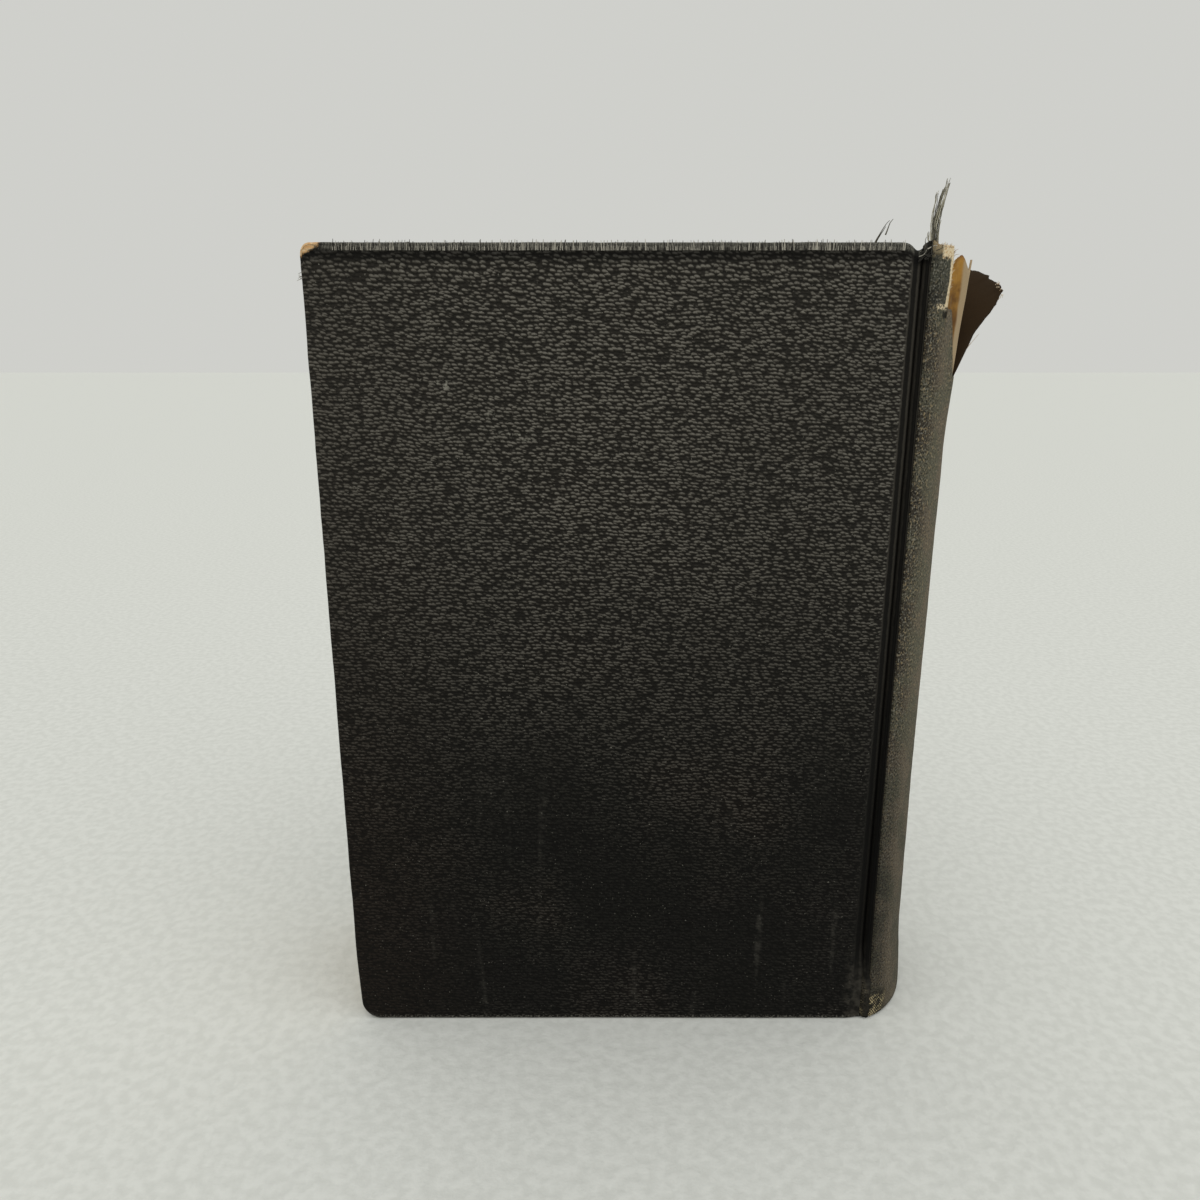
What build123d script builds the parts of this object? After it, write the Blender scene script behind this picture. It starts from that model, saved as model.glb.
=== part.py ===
"""Cloth-bound hardback book that stands upright on its tail.

Units are millimetres. +Z is up, from the tail to the head. X runs across the covers, with the
fore-edge at -X and the rounded spine at +X. Y runs through the thickness, with the back cover
at -Y and the front cover at +Y. The origin is the middle of the object's base.

The case is two boards in cloth, each turning on a vertical line in its French groove, and a
rounded spine of cloth over a paper inlay. The cloth is torn open at the head of the spine.
"""

import os
from math import asin, degrees, sqrt

from build123d import *

# Case
cover_height = 197.0
cover_width = 131.7  # one board in its cloth, from the fore-edge to the joint
book_thickness = 47.0  # over both covers
board_thickness = 2.6
cloth_thickness = 0.45
paper_thickness = 0.15  # endpapers
turn_in = 15.0  # cloth folded round a board's edges
corner_radius = 2.0  # worn corners of the covers
cover_edge_round = 0.4
board_corner_radius = 1.6

# Text block
square = 3.0  # how far the covers stand past the pages
leaf_clearance = 0.05  # between a closed cover and the endpaper it lies on
fore_edge_hollow = 11.5
shoulder_set = 1.25  # the pages' shoulder lies this far past the foot of the ridge
shoulder_run = 1.1  # the stretch over which backing turns the outer leaves outward

# Joints and rounded spine
joint_clearance = 0.4  # between a board's edge and the cloth in the groove
groove_floor = 2.3  # board's edge to the foot of the ridge
groove_depth = 2.9
ridge_rise_run = 1.8
ridge_drop = 1.0  # the ridge lies this far under the covers' outer faces
ridge_width = 1.65
spine_rise = 13.0  # rounding, from the ridge to the middle of the spine
inlay_thickness = 0.5
glue_line = 0.05
hollow_gap = 0.3  # hollow back, between the turned-in cloth and the lining
lining_thickness = 0.2
mull_thickness = 0.35
lining_margin = 12.0  # pages left bare above and below the linings
inlay_margin = 2.5  # the inlay's edges lie this far inside the ridges, across Y
turned_margin = 1.0  # cloth turned in at the tail, inside the inlay's edges
lining_edge = 0.9  # linings stop short of the shoulders

# Tear at the head of the spine, from the inlay's near edge, as places across Y and drops below
# the head
tear_near_drop = 12.3
tear_end_y = -5.9
tear_end_drop = 25.0
fold_top_y = 14.6
fold_top_drop = 1.0
fold_overlap = 0.6  # cloth left past the fold, which carries the flap
flap_reach = 16.3  # how far the flap's tip stands out past the spine
flap_tip_y = 7.5
flap_tip_drop = 6.7
flap_upper_reach = 13.3
flap_upper_y = 11.5
flap_upper_drop = 2.3
flap_lower_reach = 12.1
flap_lower_y = 3.5
flap_lower_drop = 11.4
# Ragged top of the inlay: place across Y, then drop below its top
inlay_tatters = [(-19.0, 0.4), (-15.5, 2.6), (-12.0, 0.3), (-9.5, 2.9), (-6.5, 0.6), (-1.0, 2.2), (5.0, 0.5)]
tatter_end_y = 11.0
tatter_clear = 1.0  # how far the tearing cut runs out above the inlay

# Worked out
half_thickness = book_thickness / 2
ridge_y = half_thickness - ridge_drop
spine_radius = (ridge_y**2 + spine_rise**2) / (2 * spine_rise)
overall_width = (
    cover_width + groove_floor + ridge_rise_run + ridge_width + spine_rise + flap_reach
)
fore_x = -overall_width / 2
joint_x = fore_x + cover_width
groove_foot_x = joint_x + groove_floor
ridge_x = groove_foot_x + ridge_rise_run
spine_start_x = ridge_x + ridge_width
spine_centre_x = spine_start_x + spine_rise - spine_radius
apex_x = spine_centre_x + spine_radius

cover_thickness = board_thickness + 2 * cloth_thickness
board_inner_y = half_thickness - cloth_thickness - board_thickness
turn_in_inner_y = board_inner_y - cloth_thickness
pastedown_inner_y = turn_in_inner_y - paper_thickness
endpaper_outer_y = pastedown_inner_y - leaf_clearance
pages_y = endpaper_outer_y - paper_thickness
groove_y = half_thickness - groove_depth

text_height = cover_height - 2 * square
text_fore_x = fore_x + square
inlay_outer_radius = spine_radius - cloth_thickness - glue_line
inlay_inner_radius = inlay_outer_radius - inlay_thickness
turned_inner_radius = inlay_inner_radius - glue_line - cloth_thickness
lining_outer_radius = turned_inner_radius - hollow_gap
lining_inner_radius = lining_outer_radius - lining_thickness
mull_inner_radius = lining_inner_radius - glue_line - mull_thickness
back_radius = mull_inner_radius - glue_line
shoulder_x = groove_foot_x + shoulder_set
shoulder_y = sqrt(back_radius**2 - (shoulder_x - spine_centre_x) ** 2)
shoulder_start_x = shoulder_x - shoulder_run
inlay_half_span = ridge_y - inlay_margin
turned_half_span = inlay_half_span - turned_margin
lining_half_span = shoulder_y - lining_edge


def cover_plane(outward, distance):
    """Plane parallel to the covers, at a distance from the book's middle on one side.

    Its normal is -Y, so extruding by outward times a thickness goes towards the pages.
    """
    return Plane.XZ.offset(-outward * distance)


def arc_band(inner_radius, thickness, half_span):
    """Face between two arcs about the spine's centre, from -half_span to half_span in Y."""
    half_angle = degrees(asin(half_span / inner_radius))
    centre = (spine_centre_x, 0)
    with BuildLine() as band:
        inner = CenterArc(centre, inner_radius, -half_angle, 2 * half_angle)
        outer = CenterArc(centre, inner_radius + thickness, -half_angle, 2 * half_angle)
        Line(inner @ 0, outer @ 0)
        Line(inner @ 1, outer @ 1)
    make_face(band.line.edges())


def on_spine(y, drop):
    """Point on the spine's outer face at a place across Y and a drop below the head."""
    x = spine_centre_x + sqrt(spine_radius**2 - y**2)
    return Vector(x, y, cover_height - drop)


os.makedirs("parts", exist_ok=True)

# ---- Pages, rounded and backed at the spine, hollow at the fore-edge ----
with BuildPart() as text_block:
    with BuildSketch(Plane.XY.offset(square)):
        with BuildLine():
            Line((text_fore_x, -pages_y), (shoulder_start_x, -pages_y))
            Line((shoulder_start_x, -pages_y), (shoulder_x, -shoulder_y))
            ThreePointArc(
                (shoulder_x, -shoulder_y),
                (spine_centre_x + back_radius, 0),
                (shoulder_x, shoulder_y),
            )
            Line((shoulder_x, shoulder_y), (shoulder_start_x, pages_y))
            Line((shoulder_start_x, pages_y), (text_fore_x, pages_y))
            ThreePointArc(
                (text_fore_x, pages_y),
                (text_fore_x + fore_edge_hollow, 0),
                (text_fore_x, -pages_y),
            )
        make_face()
    extrude(amount=text_height)
text_block.part.label = "text_block"
export_step(text_block.part, "parts/text_block.step")

# ---- Open-weave mull glued over the backs of the sections ----
with BuildPart() as spine_mull:
    with BuildSketch(Plane.XY.offset(square + lining_margin)):
        arc_band(mull_inner_radius, mull_thickness, lining_half_span)
    extrude(amount=text_height - 2 * lining_margin)
spine_mull.part.label = "spine_mull"
export_step(spine_mull.part, "parts/spine_mull.step")

# ---- Paper lining over the mull ----
with BuildPart() as spine_lining:
    with BuildSketch(Plane.XY.offset(square + lining_margin)):
        arc_band(lining_inner_radius, lining_thickness, lining_half_span)
    extrude(amount=text_height - 2 * lining_margin)
spine_lining.part.label = "spine_lining"
export_step(spine_lining.part, "parts/spine_lining.step")

# ---- Stiff paper inlay that the spine cloth is glued to, ragged at the open head ----
inlay_base = cloth_thickness + glue_line
inlay_top = cover_height - cloth_thickness - glue_line
with BuildPart() as spine_inlay:
    with BuildSketch(Plane.XY.offset(inlay_base)):
        arc_band(inlay_inner_radius, inlay_thickness, inlay_half_span)
    extrude(amount=inlay_top - inlay_base)
    with BuildSketch(Plane.YZ.offset(spine_centre_x)):
        with BuildLine():
            Polyline(
                (tatter_end_y, inlay_top + tatter_clear),
                (inlay_tatters[0][0], inlay_top + tatter_clear),
                *[(y, inlay_top - drop) for y, drop in inlay_tatters],
                (tatter_end_y, inlay_top + tatter_clear),
            )
        make_face()
    extrude(amount=spine_radius, mode=Mode.SUBTRACT)
spine_inlay.part.label = "spine_inlay"
export_step(spine_inlay.part, "parts/spine_inlay.step")

# ---- Flap of cloth torn from the head of the spine and peeled outward ----
flap_fold_end = on_spine(tear_end_y, tear_end_drop)
flap_fold_top = on_spine(fold_top_y, fold_top_drop)
flap_tip = Vector(apex_x + flap_reach, flap_tip_y, cover_height - flap_tip_drop)
flap_upper = Vector(apex_x + flap_upper_reach, flap_upper_y, cover_height - flap_upper_drop)
flap_lower = Vector(apex_x + flap_lower_reach, flap_lower_y, cover_height - flap_lower_drop)
fold_line = flap_fold_top - flap_fold_end
flap_plane = Plane(
    origin=flap_fold_end,
    x_dir=fold_line,
    z_dir=fold_line.cross(flap_tip - flap_fold_end),
)
flap_outline = [
    flap_plane.to_local_coords(corner)
    for corner in (flap_fold_end, flap_fold_top, flap_upper, flap_tip, flap_lower)
]
with BuildPart() as torn_flap:
    with BuildSketch(flap_plane):
        with BuildLine():
            Polyline(*[(corner.X, corner.Y) for corner in flap_outline], close=True)
        make_face()
    extrude(amount=cloth_thickness / 2, both=True)
    with BuildSketch():
        with Locations((spine_centre_x, 0)):
            Circle(spine_radius - cloth_thickness)
    extrude(amount=cover_height + cloth_thickness, mode=Mode.SUBTRACT)

# ---- Spine cloth, from groove to groove, turned in round the inlay at the tail ----
with BuildPart() as spine_cloth:
    with BuildSketch():
        with BuildLine():
            Polyline(
                (joint_x + joint_clearance, -groove_y),
                (groove_foot_x, -groove_y),
                (ridge_x, -ridge_y),
                (spine_start_x, -ridge_y),
            )
            ThreePointArc((spine_start_x, -ridge_y), (apex_x, 0), (spine_start_x, ridge_y))
            Polyline(
                (spine_start_x, ridge_y),
                (ridge_x, ridge_y),
                (groove_foot_x, groove_y),
                (joint_x + joint_clearance, groove_y),
            )
            offset(amount=cloth_thickness, side=Side.LEFT)
        make_face()
    extrude(amount=cover_height)
    with BuildSketch(Plane.YZ.offset(spine_centre_x)):
        with BuildLine():
            Polyline(
                (-inlay_half_span, cover_height),
                (-inlay_half_span, cover_height - tear_near_drop),
                (tear_end_y - fold_overlap, cover_height - tear_end_drop),
                (fold_top_y - fold_overlap, cover_height),
                close=True,
            )
        make_face()
    extrude(amount=spine_radius + cloth_thickness, mode=Mode.SUBTRACT)
    add(torn_flap.part)
    with BuildSketch():
        arc_band(turned_inner_radius, cloth_thickness, turned_half_span)
    extrude(amount=turn_in)
    with BuildSketch():
        arc_band(turned_inner_radius, spine_radius - turned_inner_radius, turned_half_span)
    extrude(amount=cloth_thickness)
spine_cloth.part.label = "spine_cloth"
export_step(spine_cloth.part, "parts/spine_cloth.step")

# ---- Covers and endpapers, alike on the two sides ----
cover_middle_x = fore_x + cover_width / 2
board_width = cover_width - 2 * cloth_thickness
board_height = cover_height - 2 * cloth_thickness
window_width = cover_width - turn_in
window_height = cover_height - 2 * turn_in
window_middle_x = joint_x - window_width / 2
pastedown_width = cover_width - square
pastedown_middle_x = joint_x - pastedown_width / 2
dish_width = window_width - paper_thickness
dish_height = window_height - 2 * paper_thickness
dish_middle_x = joint_x - dish_width / 2
endpaper_width = shoulder_start_x - text_fore_x
book_middle_z = cover_height / 2

for side, outward in (("back", -1), ("front", 1)):
    # Stiff board
    with BuildPart() as board:
        with BuildSketch(cover_plane(outward, half_thickness - cloth_thickness)):
            with Locations((cover_middle_x, book_middle_z)):
                Rectangle(board_width, board_height)
            fillet(vertices().group_by(Axis.X)[0], board_corner_radius)
        extrude(amount=outward * board_thickness)
    board.part.label = f"{side}_board"
    export_step(board.part, f"parts/{side}_board.step")

    # Cloth drawn over the board and turned in on three sides
    with BuildPart() as cover_cloth:
        with BuildSketch(cover_plane(outward, half_thickness)):
            with Locations((cover_middle_x, book_middle_z)):
                Rectangle(cover_width, cover_height)
            fillet(vertices().group_by(Axis.X)[0], corner_radius)
        extrude(amount=outward * cover_thickness)
        outer_face = faces().filter_by(Axis.Y).sort_by(Axis.Y)[0 if outward < 0 else -1]
        fillet(outer_face.edges(), cover_edge_round)
        add(board.part, mode=Mode.SUBTRACT)
        with BuildSketch(cover_plane(outward, board_inner_y)):
            with Locations((window_middle_x, book_middle_z)):
                Rectangle(window_width, window_height)
        extrude(amount=outward * cloth_thickness, mode=Mode.SUBTRACT)
    cover_cloth.part.label = f"{side}_cloth"
    export_step(cover_cloth.part, f"parts/{side}_cloth.step")

    # Endpaper half pasted inside the cover, which sinks between the turned-in edges
    with BuildPart() as pastedown:
        with BuildSketch(cover_plane(outward, turn_in_inner_y)):
            with Locations((pastedown_middle_x, book_middle_z)):
                Rectangle(pastedown_width, text_height)
        extrude(amount=outward * paper_thickness)
        with BuildSketch(cover_plane(outward, board_inner_y)):
            with Locations((window_middle_x, book_middle_z)):
                Rectangle(window_width, window_height)
        extrude(amount=outward * (cloth_thickness + paper_thickness))
        with BuildSketch(cover_plane(outward, board_inner_y - paper_thickness)):
            with Locations((dish_middle_x, book_middle_z)):
                Rectangle(dish_width, dish_height)
        extrude(amount=outward * cloth_thickness, mode=Mode.SUBTRACT)
    pastedown.part.label = f"{side}_pastedown"
    export_step(pastedown.part, f"parts/{side}_pastedown.step")

    # Endpaper half that lies free on the pages
    with BuildPart() as free_endpaper:
        with BuildSketch(cover_plane(outward, endpaper_outer_y)):
            with Locations((text_fore_x + endpaper_width / 2, book_middle_z)):
                Rectangle(endpaper_width, text_height)
        extrude(amount=outward * paper_thickness)
    free_endpaper.part.label = f"{side}_endpaper"
    export_step(free_endpaper.part, f"parts/{side}_endpaper.step")
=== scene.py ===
"""Cloth-bound hardback book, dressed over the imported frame.

Units are metres. The book stands on its tail with the back cover at -Y and the rounded spine at +X.
Cloth pieces carry a UV map in metres: u runs from the fore-edge towards the spine, v up from the tail.
"""
import logging
import math
import random
from dataclasses import dataclass
from enum import Enum
from typing import Callable, Sequence

import bpy
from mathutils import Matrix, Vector, noise


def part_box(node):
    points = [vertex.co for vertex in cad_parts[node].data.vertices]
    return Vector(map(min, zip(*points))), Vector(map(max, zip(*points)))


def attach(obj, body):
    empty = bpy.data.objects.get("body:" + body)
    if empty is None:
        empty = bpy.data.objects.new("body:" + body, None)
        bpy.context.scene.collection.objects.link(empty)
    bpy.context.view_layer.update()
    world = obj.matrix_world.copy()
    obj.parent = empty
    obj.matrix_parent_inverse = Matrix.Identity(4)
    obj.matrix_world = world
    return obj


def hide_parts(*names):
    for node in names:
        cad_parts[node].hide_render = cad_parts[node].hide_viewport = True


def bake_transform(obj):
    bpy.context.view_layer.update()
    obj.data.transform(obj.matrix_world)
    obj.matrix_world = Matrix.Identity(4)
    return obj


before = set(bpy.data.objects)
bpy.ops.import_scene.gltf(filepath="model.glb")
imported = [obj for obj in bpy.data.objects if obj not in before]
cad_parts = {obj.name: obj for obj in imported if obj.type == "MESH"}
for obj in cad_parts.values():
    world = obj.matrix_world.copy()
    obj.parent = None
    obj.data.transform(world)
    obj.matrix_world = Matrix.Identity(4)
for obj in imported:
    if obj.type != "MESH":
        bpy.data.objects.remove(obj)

MM = 0.001
log = logging.getLogger("hardback_book")
Colour = tuple[float, float, float, float]
Point = tuple[float, float, float]
Place = tuple[float, float]
Settings = dict[str, object]
Inputs = dict[int | str, object]


class Side(Enum):
    """The two covers, by the sign of their place in Y."""

    BACK = -1
    FRONT = 1

    @property
    def word(self) -> str:
        """Name part used by this side's bodies and nodes."""
        return self.name.lower()


class Weave(Enum):
    """How far apart a cloth's threads lie, in metres."""

    BOOK_CLOTH = 0.34 * MM
    MULL = 1.1 * MM


def rgb(red: float, green: float, blue: float) -> Colour:
    """Opaque colour from linear red, green and blue."""
    return (red, green, blue, 1.0)


def ease(value: float) -> float:
    """Smooth step from 0 to 1."""
    t = min(max(value, 0.0), 1.0)
    return t * t * (3 - 2 * t)


def blend_between(a: float, b: float, share: float) -> float:
    """Value part of the way from a to b."""
    return a + (b - a) * share


def rough(x: float, y: float, z: float, size: float) -> float:
    """Smooth noise from about -1 to 1.

    Args:
        x: First place, in metres.
        y: Second place, in metres.
        z: Third place, in metres.
        size: Width of one bump, in metres.

    Returns:
        The noise at that place.
    """
    return noise.noise(Vector((x, y, z)) / size)


# ---- Sizes read from the frame ----


@dataclass(frozen=True)
class BookFrame:
    """Key places of the case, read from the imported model."""

    fore_x: float
    joint_x: float
    crease_x: float
    ridge_x: float
    head_z: float
    cover_y: float
    cloth_inner_y: float
    crease_y: float
    ridge_y: float
    spine_x: float
    spine_radius: float

    @classmethod
    def from_cad(cls) -> "BookFrame":
        """Reads the nodes' boxes.

        Returns:
            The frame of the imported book.
        """
        low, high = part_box("back_cloth")
        spine_low, spine_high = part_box("spine_cloth")
        inlay_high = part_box("spine_inlay")[1]
        board_overrun = 1.2 * MM
        spine_rise = 13.0 * MM
        cloth_and_glue = 0.5 * MM
        crease_inset = 3.95 * MM
        ridge_inset = 5.2 * MM
        crease_depth = 1.9 * MM
        ridge_y = spine_high.y
        radius = (ridge_y**2 + spine_rise**2) / (2 * spine_rise)
        return cls(
            fore_x=low.x,
            joint_x=high.x + board_overrun,
            crease_x=spine_low.x + crease_inset,
            ridge_x=spine_low.x + ridge_inset,
            head_z=high.z,
            cover_y=-low.y,
            cloth_inner_y=-high.y,
            crease_y=ridge_y - crease_depth,
            ridge_y=ridge_y,
            spine_x=inlay_high.x + cloth_and_glue - radius,
            spine_radius=radius,
        )


# ---- Shader writing ----


class Wire:
    """A value socket that is worked with as a number."""

    def __init__(self, tree: "FinishTree", socket: bpy.types.NodeSocket) -> None:
        """Keeps the socket and the tree it belongs to."""
        self.tree = tree
        self.socket = socket

    def _maths(self, operation: str, *values: "Wire | float") -> "Wire":
        """One Math node on the given values."""
        return self.tree.add("ShaderNodeMath", {"operation": operation}, dict(enumerate(values)))

    def __add__(self, other: "Wire | float") -> "Wire":
        """Sum."""
        return self._maths("ADD", self, other)

    __radd__ = __add__

    def __sub__(self, other: "Wire | float") -> "Wire":
        """Difference."""
        return self._maths("SUBTRACT", self, other)

    def __rsub__(self, other: float) -> "Wire":
        """Difference from a number."""
        return self._maths("SUBTRACT", other, self)

    def __mul__(self, other: "Wire | float") -> "Wire":
        """Product."""
        return self._maths("MULTIPLY", self, other)

    __rmul__ = __mul__

    def __truediv__(self, other: "Wire | float") -> "Wire":
        """Quotient."""
        return self._maths("DIVIDE", self, other)

    def __abs__(self) -> "Wire":
        """Size without sign."""
        return self._maths("ABSOLUTE", self)

    def other(self, output: str) -> "Wire":
        """Another output of the same node."""
        return Wire(self.tree, self.socket.node.outputs[output])

    def least(self, other: "Wire | float") -> "Wire":
        """The smaller of two values."""
        return self._maths("MINIMUM", self, other)

    def most(self, other: "Wire | float") -> "Wire":
        """The larger of two values."""
        return self._maths("MAXIMUM", self, other)

    def sine(self) -> "Wire":
        """Sine of the value."""
        return self._maths("SINE", self)

    def power(self, exponent: float) -> "Wire":
        """The value raised to a power."""
        return self._maths("POWER", self, exponent)

    def ramp(self, start: float, end: float) -> "Wire":
        """Smooth step from 0 at start to 1 at end; end may lie below start.

        Args:
            start: Value where the step leaves 0.
            end: Value where it reaches 1.

        Returns:
            The step, from 0 to 1.
        """
        low, high = min(start, end), max(start, end)
        span = self.tree.add(
            "ShaderNodeMapRange",
            {"interpolation_type": "SMOOTHSTEP"},
            {"Value": self, "From Min": low, "From Max": high},
        )
        return span if start < end else 1.0 - span


class FinishTree:
    """Node tree of one material, with a Principled shader."""

    def __init__(self, name: str) -> None:
        """Makes the material and its shader.

        Args:
            name: The material's name.
        """
        self.material = bpy.data.materials.new(name)
        self.material.use_nodes = True
        self.nodes = self.material.node_tree.nodes
        self.links = self.material.node_tree.links
        self.shader = self.nodes["Principled BSDF"]

    def add(
        self,
        kind: str,
        settings: Settings | None = None,
        inputs: Inputs | None = None,
        output: int | str = 0,
    ) -> Wire:
        """Adds any node.

        Args:
            kind: The node's type.
            settings: The node's own settings, set first.
            inputs: Values or wires by socket name or number.
            output: The output that is returned.

        Returns:
            The wire of that output.
        """
        node = self.nodes.new(kind)
        for key, value in (settings or {}).items():
            setattr(node, key, value)
        for key, value in (inputs or {}).items():
            self.feed(node.inputs[key], value)
        return Wire(self, node.outputs[output])

    def feed(self, socket: bpy.types.NodeSocket, value: object) -> None:
        """Links a wire to a socket, or sets its number or colour.

        Args:
            socket: The socket.
            value: A wire, a number or a colour.
        """
        if isinstance(value, Wire):
            self.links.new(value.socket, socket)
        else:
            socket.default_value = value

    def mix(self, share: Wire | float, a: Wire | Colour, b: Wire | Colour) -> Wire:
        """Colour part of the way from a to b."""
        return self.add("ShaderNodeMix", {"data_type": "RGBA"}, {0: share, 6: a, 7: b}, 2)

    def split(self, vector: Wire) -> tuple[Wire, Wire, Wire]:
        """A vector's three parts."""
        first = self.add("ShaderNodeSeparateXYZ", None, {0: vector})
        return first, first.other("Y"), first.other("Z")

    def cloth_place(self) -> Wire:
        """The piece's own UV map."""
        return self.add("ShaderNodeUVMap", {"uv_map": "cloth"})

    def object_place(self) -> Wire:
        """Object coordinates."""
        return self.add("ShaderNodeTexCoord", output="Object")

    def noise(self, vector: Wire, scale: Point, detail: float, shift: float = 0.0) -> Wire:
        """Noise of about 0 to 1, scaled and shifted by a Mapping node.

        Args:
            vector: The place.
            scale: Bumps per metre along each axis.
            detail: How much finer noise is added.
            shift: Moves the pattern, to make it another one.

        Returns:
            The noise.
        """
        inputs = {"Vector": vector, "Scale": scale, "Location": (shift,) * 3}
        place = self.add("ShaderNodeMapping", None, inputs)
        return self.add("ShaderNodeTexNoise", None, {"Vector": place, "Scale": 1.0, "Detail": detail})

    def cloud(self, vector: Wire, size: float, detail: float = 3.0, shift: float = 0.0) -> Wire:
        """Noise of about 0 to 1, in bumps of a given size in metres."""
        return self.noise(vector, (1 / size,) * 3, detail, shift)

    def dress(self, **sockets: object) -> bpy.types.Material:
        """Sets the shader's sockets, with underscores for spaces.

        Args:
            **sockets: Values or wires by socket name.

        Returns:
            The finished material.
        """
        for name, value in sockets.items():
            self.feed(self.shader.inputs[name.replace("_", " ")], value)
        return self.material

    def bump(self, height: Wire, depth: float) -> Wire:
        """Normal of a height from 0 to 1, over a depth in metres."""
        return self.add("ShaderNodeBump", None, {"Height": height, "Distance": depth, "Strength": 1.0})


# ---- Finishes ----


@dataclass(frozen=True)
class Scuff:
    """A rubbed patch on a cover, in the cloth's own u and v."""

    u: float
    v: float
    reach_u: float
    reach_v: float
    tilt: float
    strength: float


@dataclass(frozen=True)
class BindingCloth:
    """Dark pebble-grained book cloth, rubbed at its edges.

    The grain's crests are greyed by dust and carry painted highlight on their upper sides, its creases and
    lower sides carry painted shade, and the grain fades out in the joint, beside the spine.
    """

    name: str
    head_v: float
    joint_u: float
    spine_end_u: float = 0.0
    scuffs: tuple[Scuff, ...] = ()
    bare_corner: float = 0.0
    near_tear_u: float = 0.0
    tear_v: float = 0.0
    grain_u: float = 1.22 * MM
    grain_v: float = 0.85 * MM
    deep: Colour = rgb(0.0022, 0.0020, 0.0017)
    ground: Colour = rgb(0.0085, 0.0080, 0.0066)
    # grey of worn, dusty cloth, also used as painted light falling from above
    worn_grey_and_top_light: Colour = rgb(0.060, 0.054, 0.044)
    # grey of dusty pebble tops, also used as painted highlight
    crest_dust_and_highlight: Colour = rgb(0.150, 0.140, 0.118)
    brown: Colour = rgb(0.019, 0.012, 0.008)
    thread_grey: Colour = rgb(0.26, 0.25, 0.21)
    worn_tan: Colour = rgb(0.31, 0.24, 0.14)
    board_tan: Colour = rgb(0.56, 0.33, 0.145)
    cream: Colour = rgb(0.80, 0.66, 0.44)
    gilt: Colour = rgb(0.46, 0.38, 0.22)

    def weave(self, u: Wire, v: Wire) -> Wire:
        """Height of plain weave, from 0 to 1."""
        turn = 2 * math.pi / Weave.BOOK_CLOTH.value
        return (u * turn).sine() * (v * turn).sine() * 0.5 + 0.5

    def grain(self, tree: FinishTree, place: Wire) -> tuple[Wire, Wire, Wire]:
        """Pressed pebble grain.

        Args:
            tree: The material's tree.
            place: The UV place.

        Returns:
            Height from 0 in the creases to 1, and masks of the pebbles' upper and lower sides.
        """
        drift = tree.cloud(place, 11 * MM, 2.0)
        u, v, _ = tree.split(place)
        row = v / self.grain_v + drift * 1.8
        warped = tree.add(
            "ShaderNodeCombineXYZ", None, {0: u / self.grain_u + row * 0.42, 1: row, 2: 0.0}
        )
        cells = tree.add(
            "ShaderNodeTexVoronoi",
            {"feature": "SMOOTH_F1"},
            {"Vector": warped, "Scale": 1.0, "Smoothness": 0.2, "Randomness": 0.62},
        )
        _, centre_row, _ = tree.split(cells.other("Position"))
        # upper and lower sides of each pebble, used later for painted highlight and painted shade
        above = row - centre_row
        upper = above.ramp(-0.12, 0.14) * above.ramp(0.72, 0.36)
        return 1.0 - cells.ramp(0.10, 0.72), upper, above.ramp(0.02, -0.28)

    def rubbed_patch(self, tree: FinishTree, place: Wire, scuff: Scuff) -> Wire:
        """Mask of one scuff.

        Args:
            tree: The material's tree.
            place: The UV place.
            scuff: The scuff.

        Returns:
            The mask, from 0 to its strength.
        """
        u, v, _ = tree.split(place)
        across = (u - scuff.u) + (v - scuff.v) * scuff.tilt
        along = (v - scuff.v) - (u - scuff.u) * scuff.tilt
        reach = (across / scuff.reach_u).power(2.0) + (along / scuff.reach_v).power(2.0)
        broken = tree.cloud(place, 1.3 * MM, 4.0, 5.0).ramp(0.50, 0.64)
        return reach.ramp(1.0, 0.25) * broken * scuff.strength

    def build(self) -> bpy.types.Material:
        """Makes the material.

        Returns:
            The cloth's material.
        """
        tree = FinishTree(self.name)
        place = tree.cloth_place()
        u, v, _ = tree.split(place)
        pebbles, upper, lower = self.grain(tree, place)
        threads = self.weave(u, v)
        broad = tree.cloud(place, 45 * MM, 4.0)
        fine = tree.cloud(place, 2.4 * MM, 3.0, 3.0)
        specks = tree.cloud(place, 0.55 * MM, 2.0, 9.0)
        streaks = tree.noise(place, (1 / (4 * MM), 1 / (45 * MM), 1.0), 1.0)

        up = v.ramp(38 * MM, 182 * MM)
        grained = u.ramp(self.joint_u + 0.1 * MM, self.joint_u - 0.6 * MM)
        rub_and_top_light = (up * 0.85 + 0.05 + (broad - 0.5) * 0.8) * (u.ramp(-12 * MM, 42 * MM) * 0.5 + 0.5)
        lint = fine.ramp(0.20, 0.60) * 0.45 + specks.ramp(0.28, 0.62) * 0.65 + 0.15
        # crest mask: dust on the pebbles' tops plus painted highlight on their upper sides, stronger towards
        # the top
        crest_dust_and_highlight = (pebbles.ramp(0.06, 0.48) * upper * lint * rub_and_top_light * grained).least(1.0)
        ribs = (u * (2 * math.pi / (0.32 * MM)) + specks * 5.0).sine().ramp(-0.2, 0.9)
        head_wear = (self.head_v - v).ramp(1.9 * MM, 0.9 * MM) * ribs
        tail_wear = v.ramp(1.6 * MM, 0.2 * MM) * specks.ramp(0.5, 0.6)
        edge_wear = head_wear.most(tail_wear)
        speck = specks.ramp(0.665, 0.74) * fine.ramp(0.35, 0.7) * grained

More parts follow.
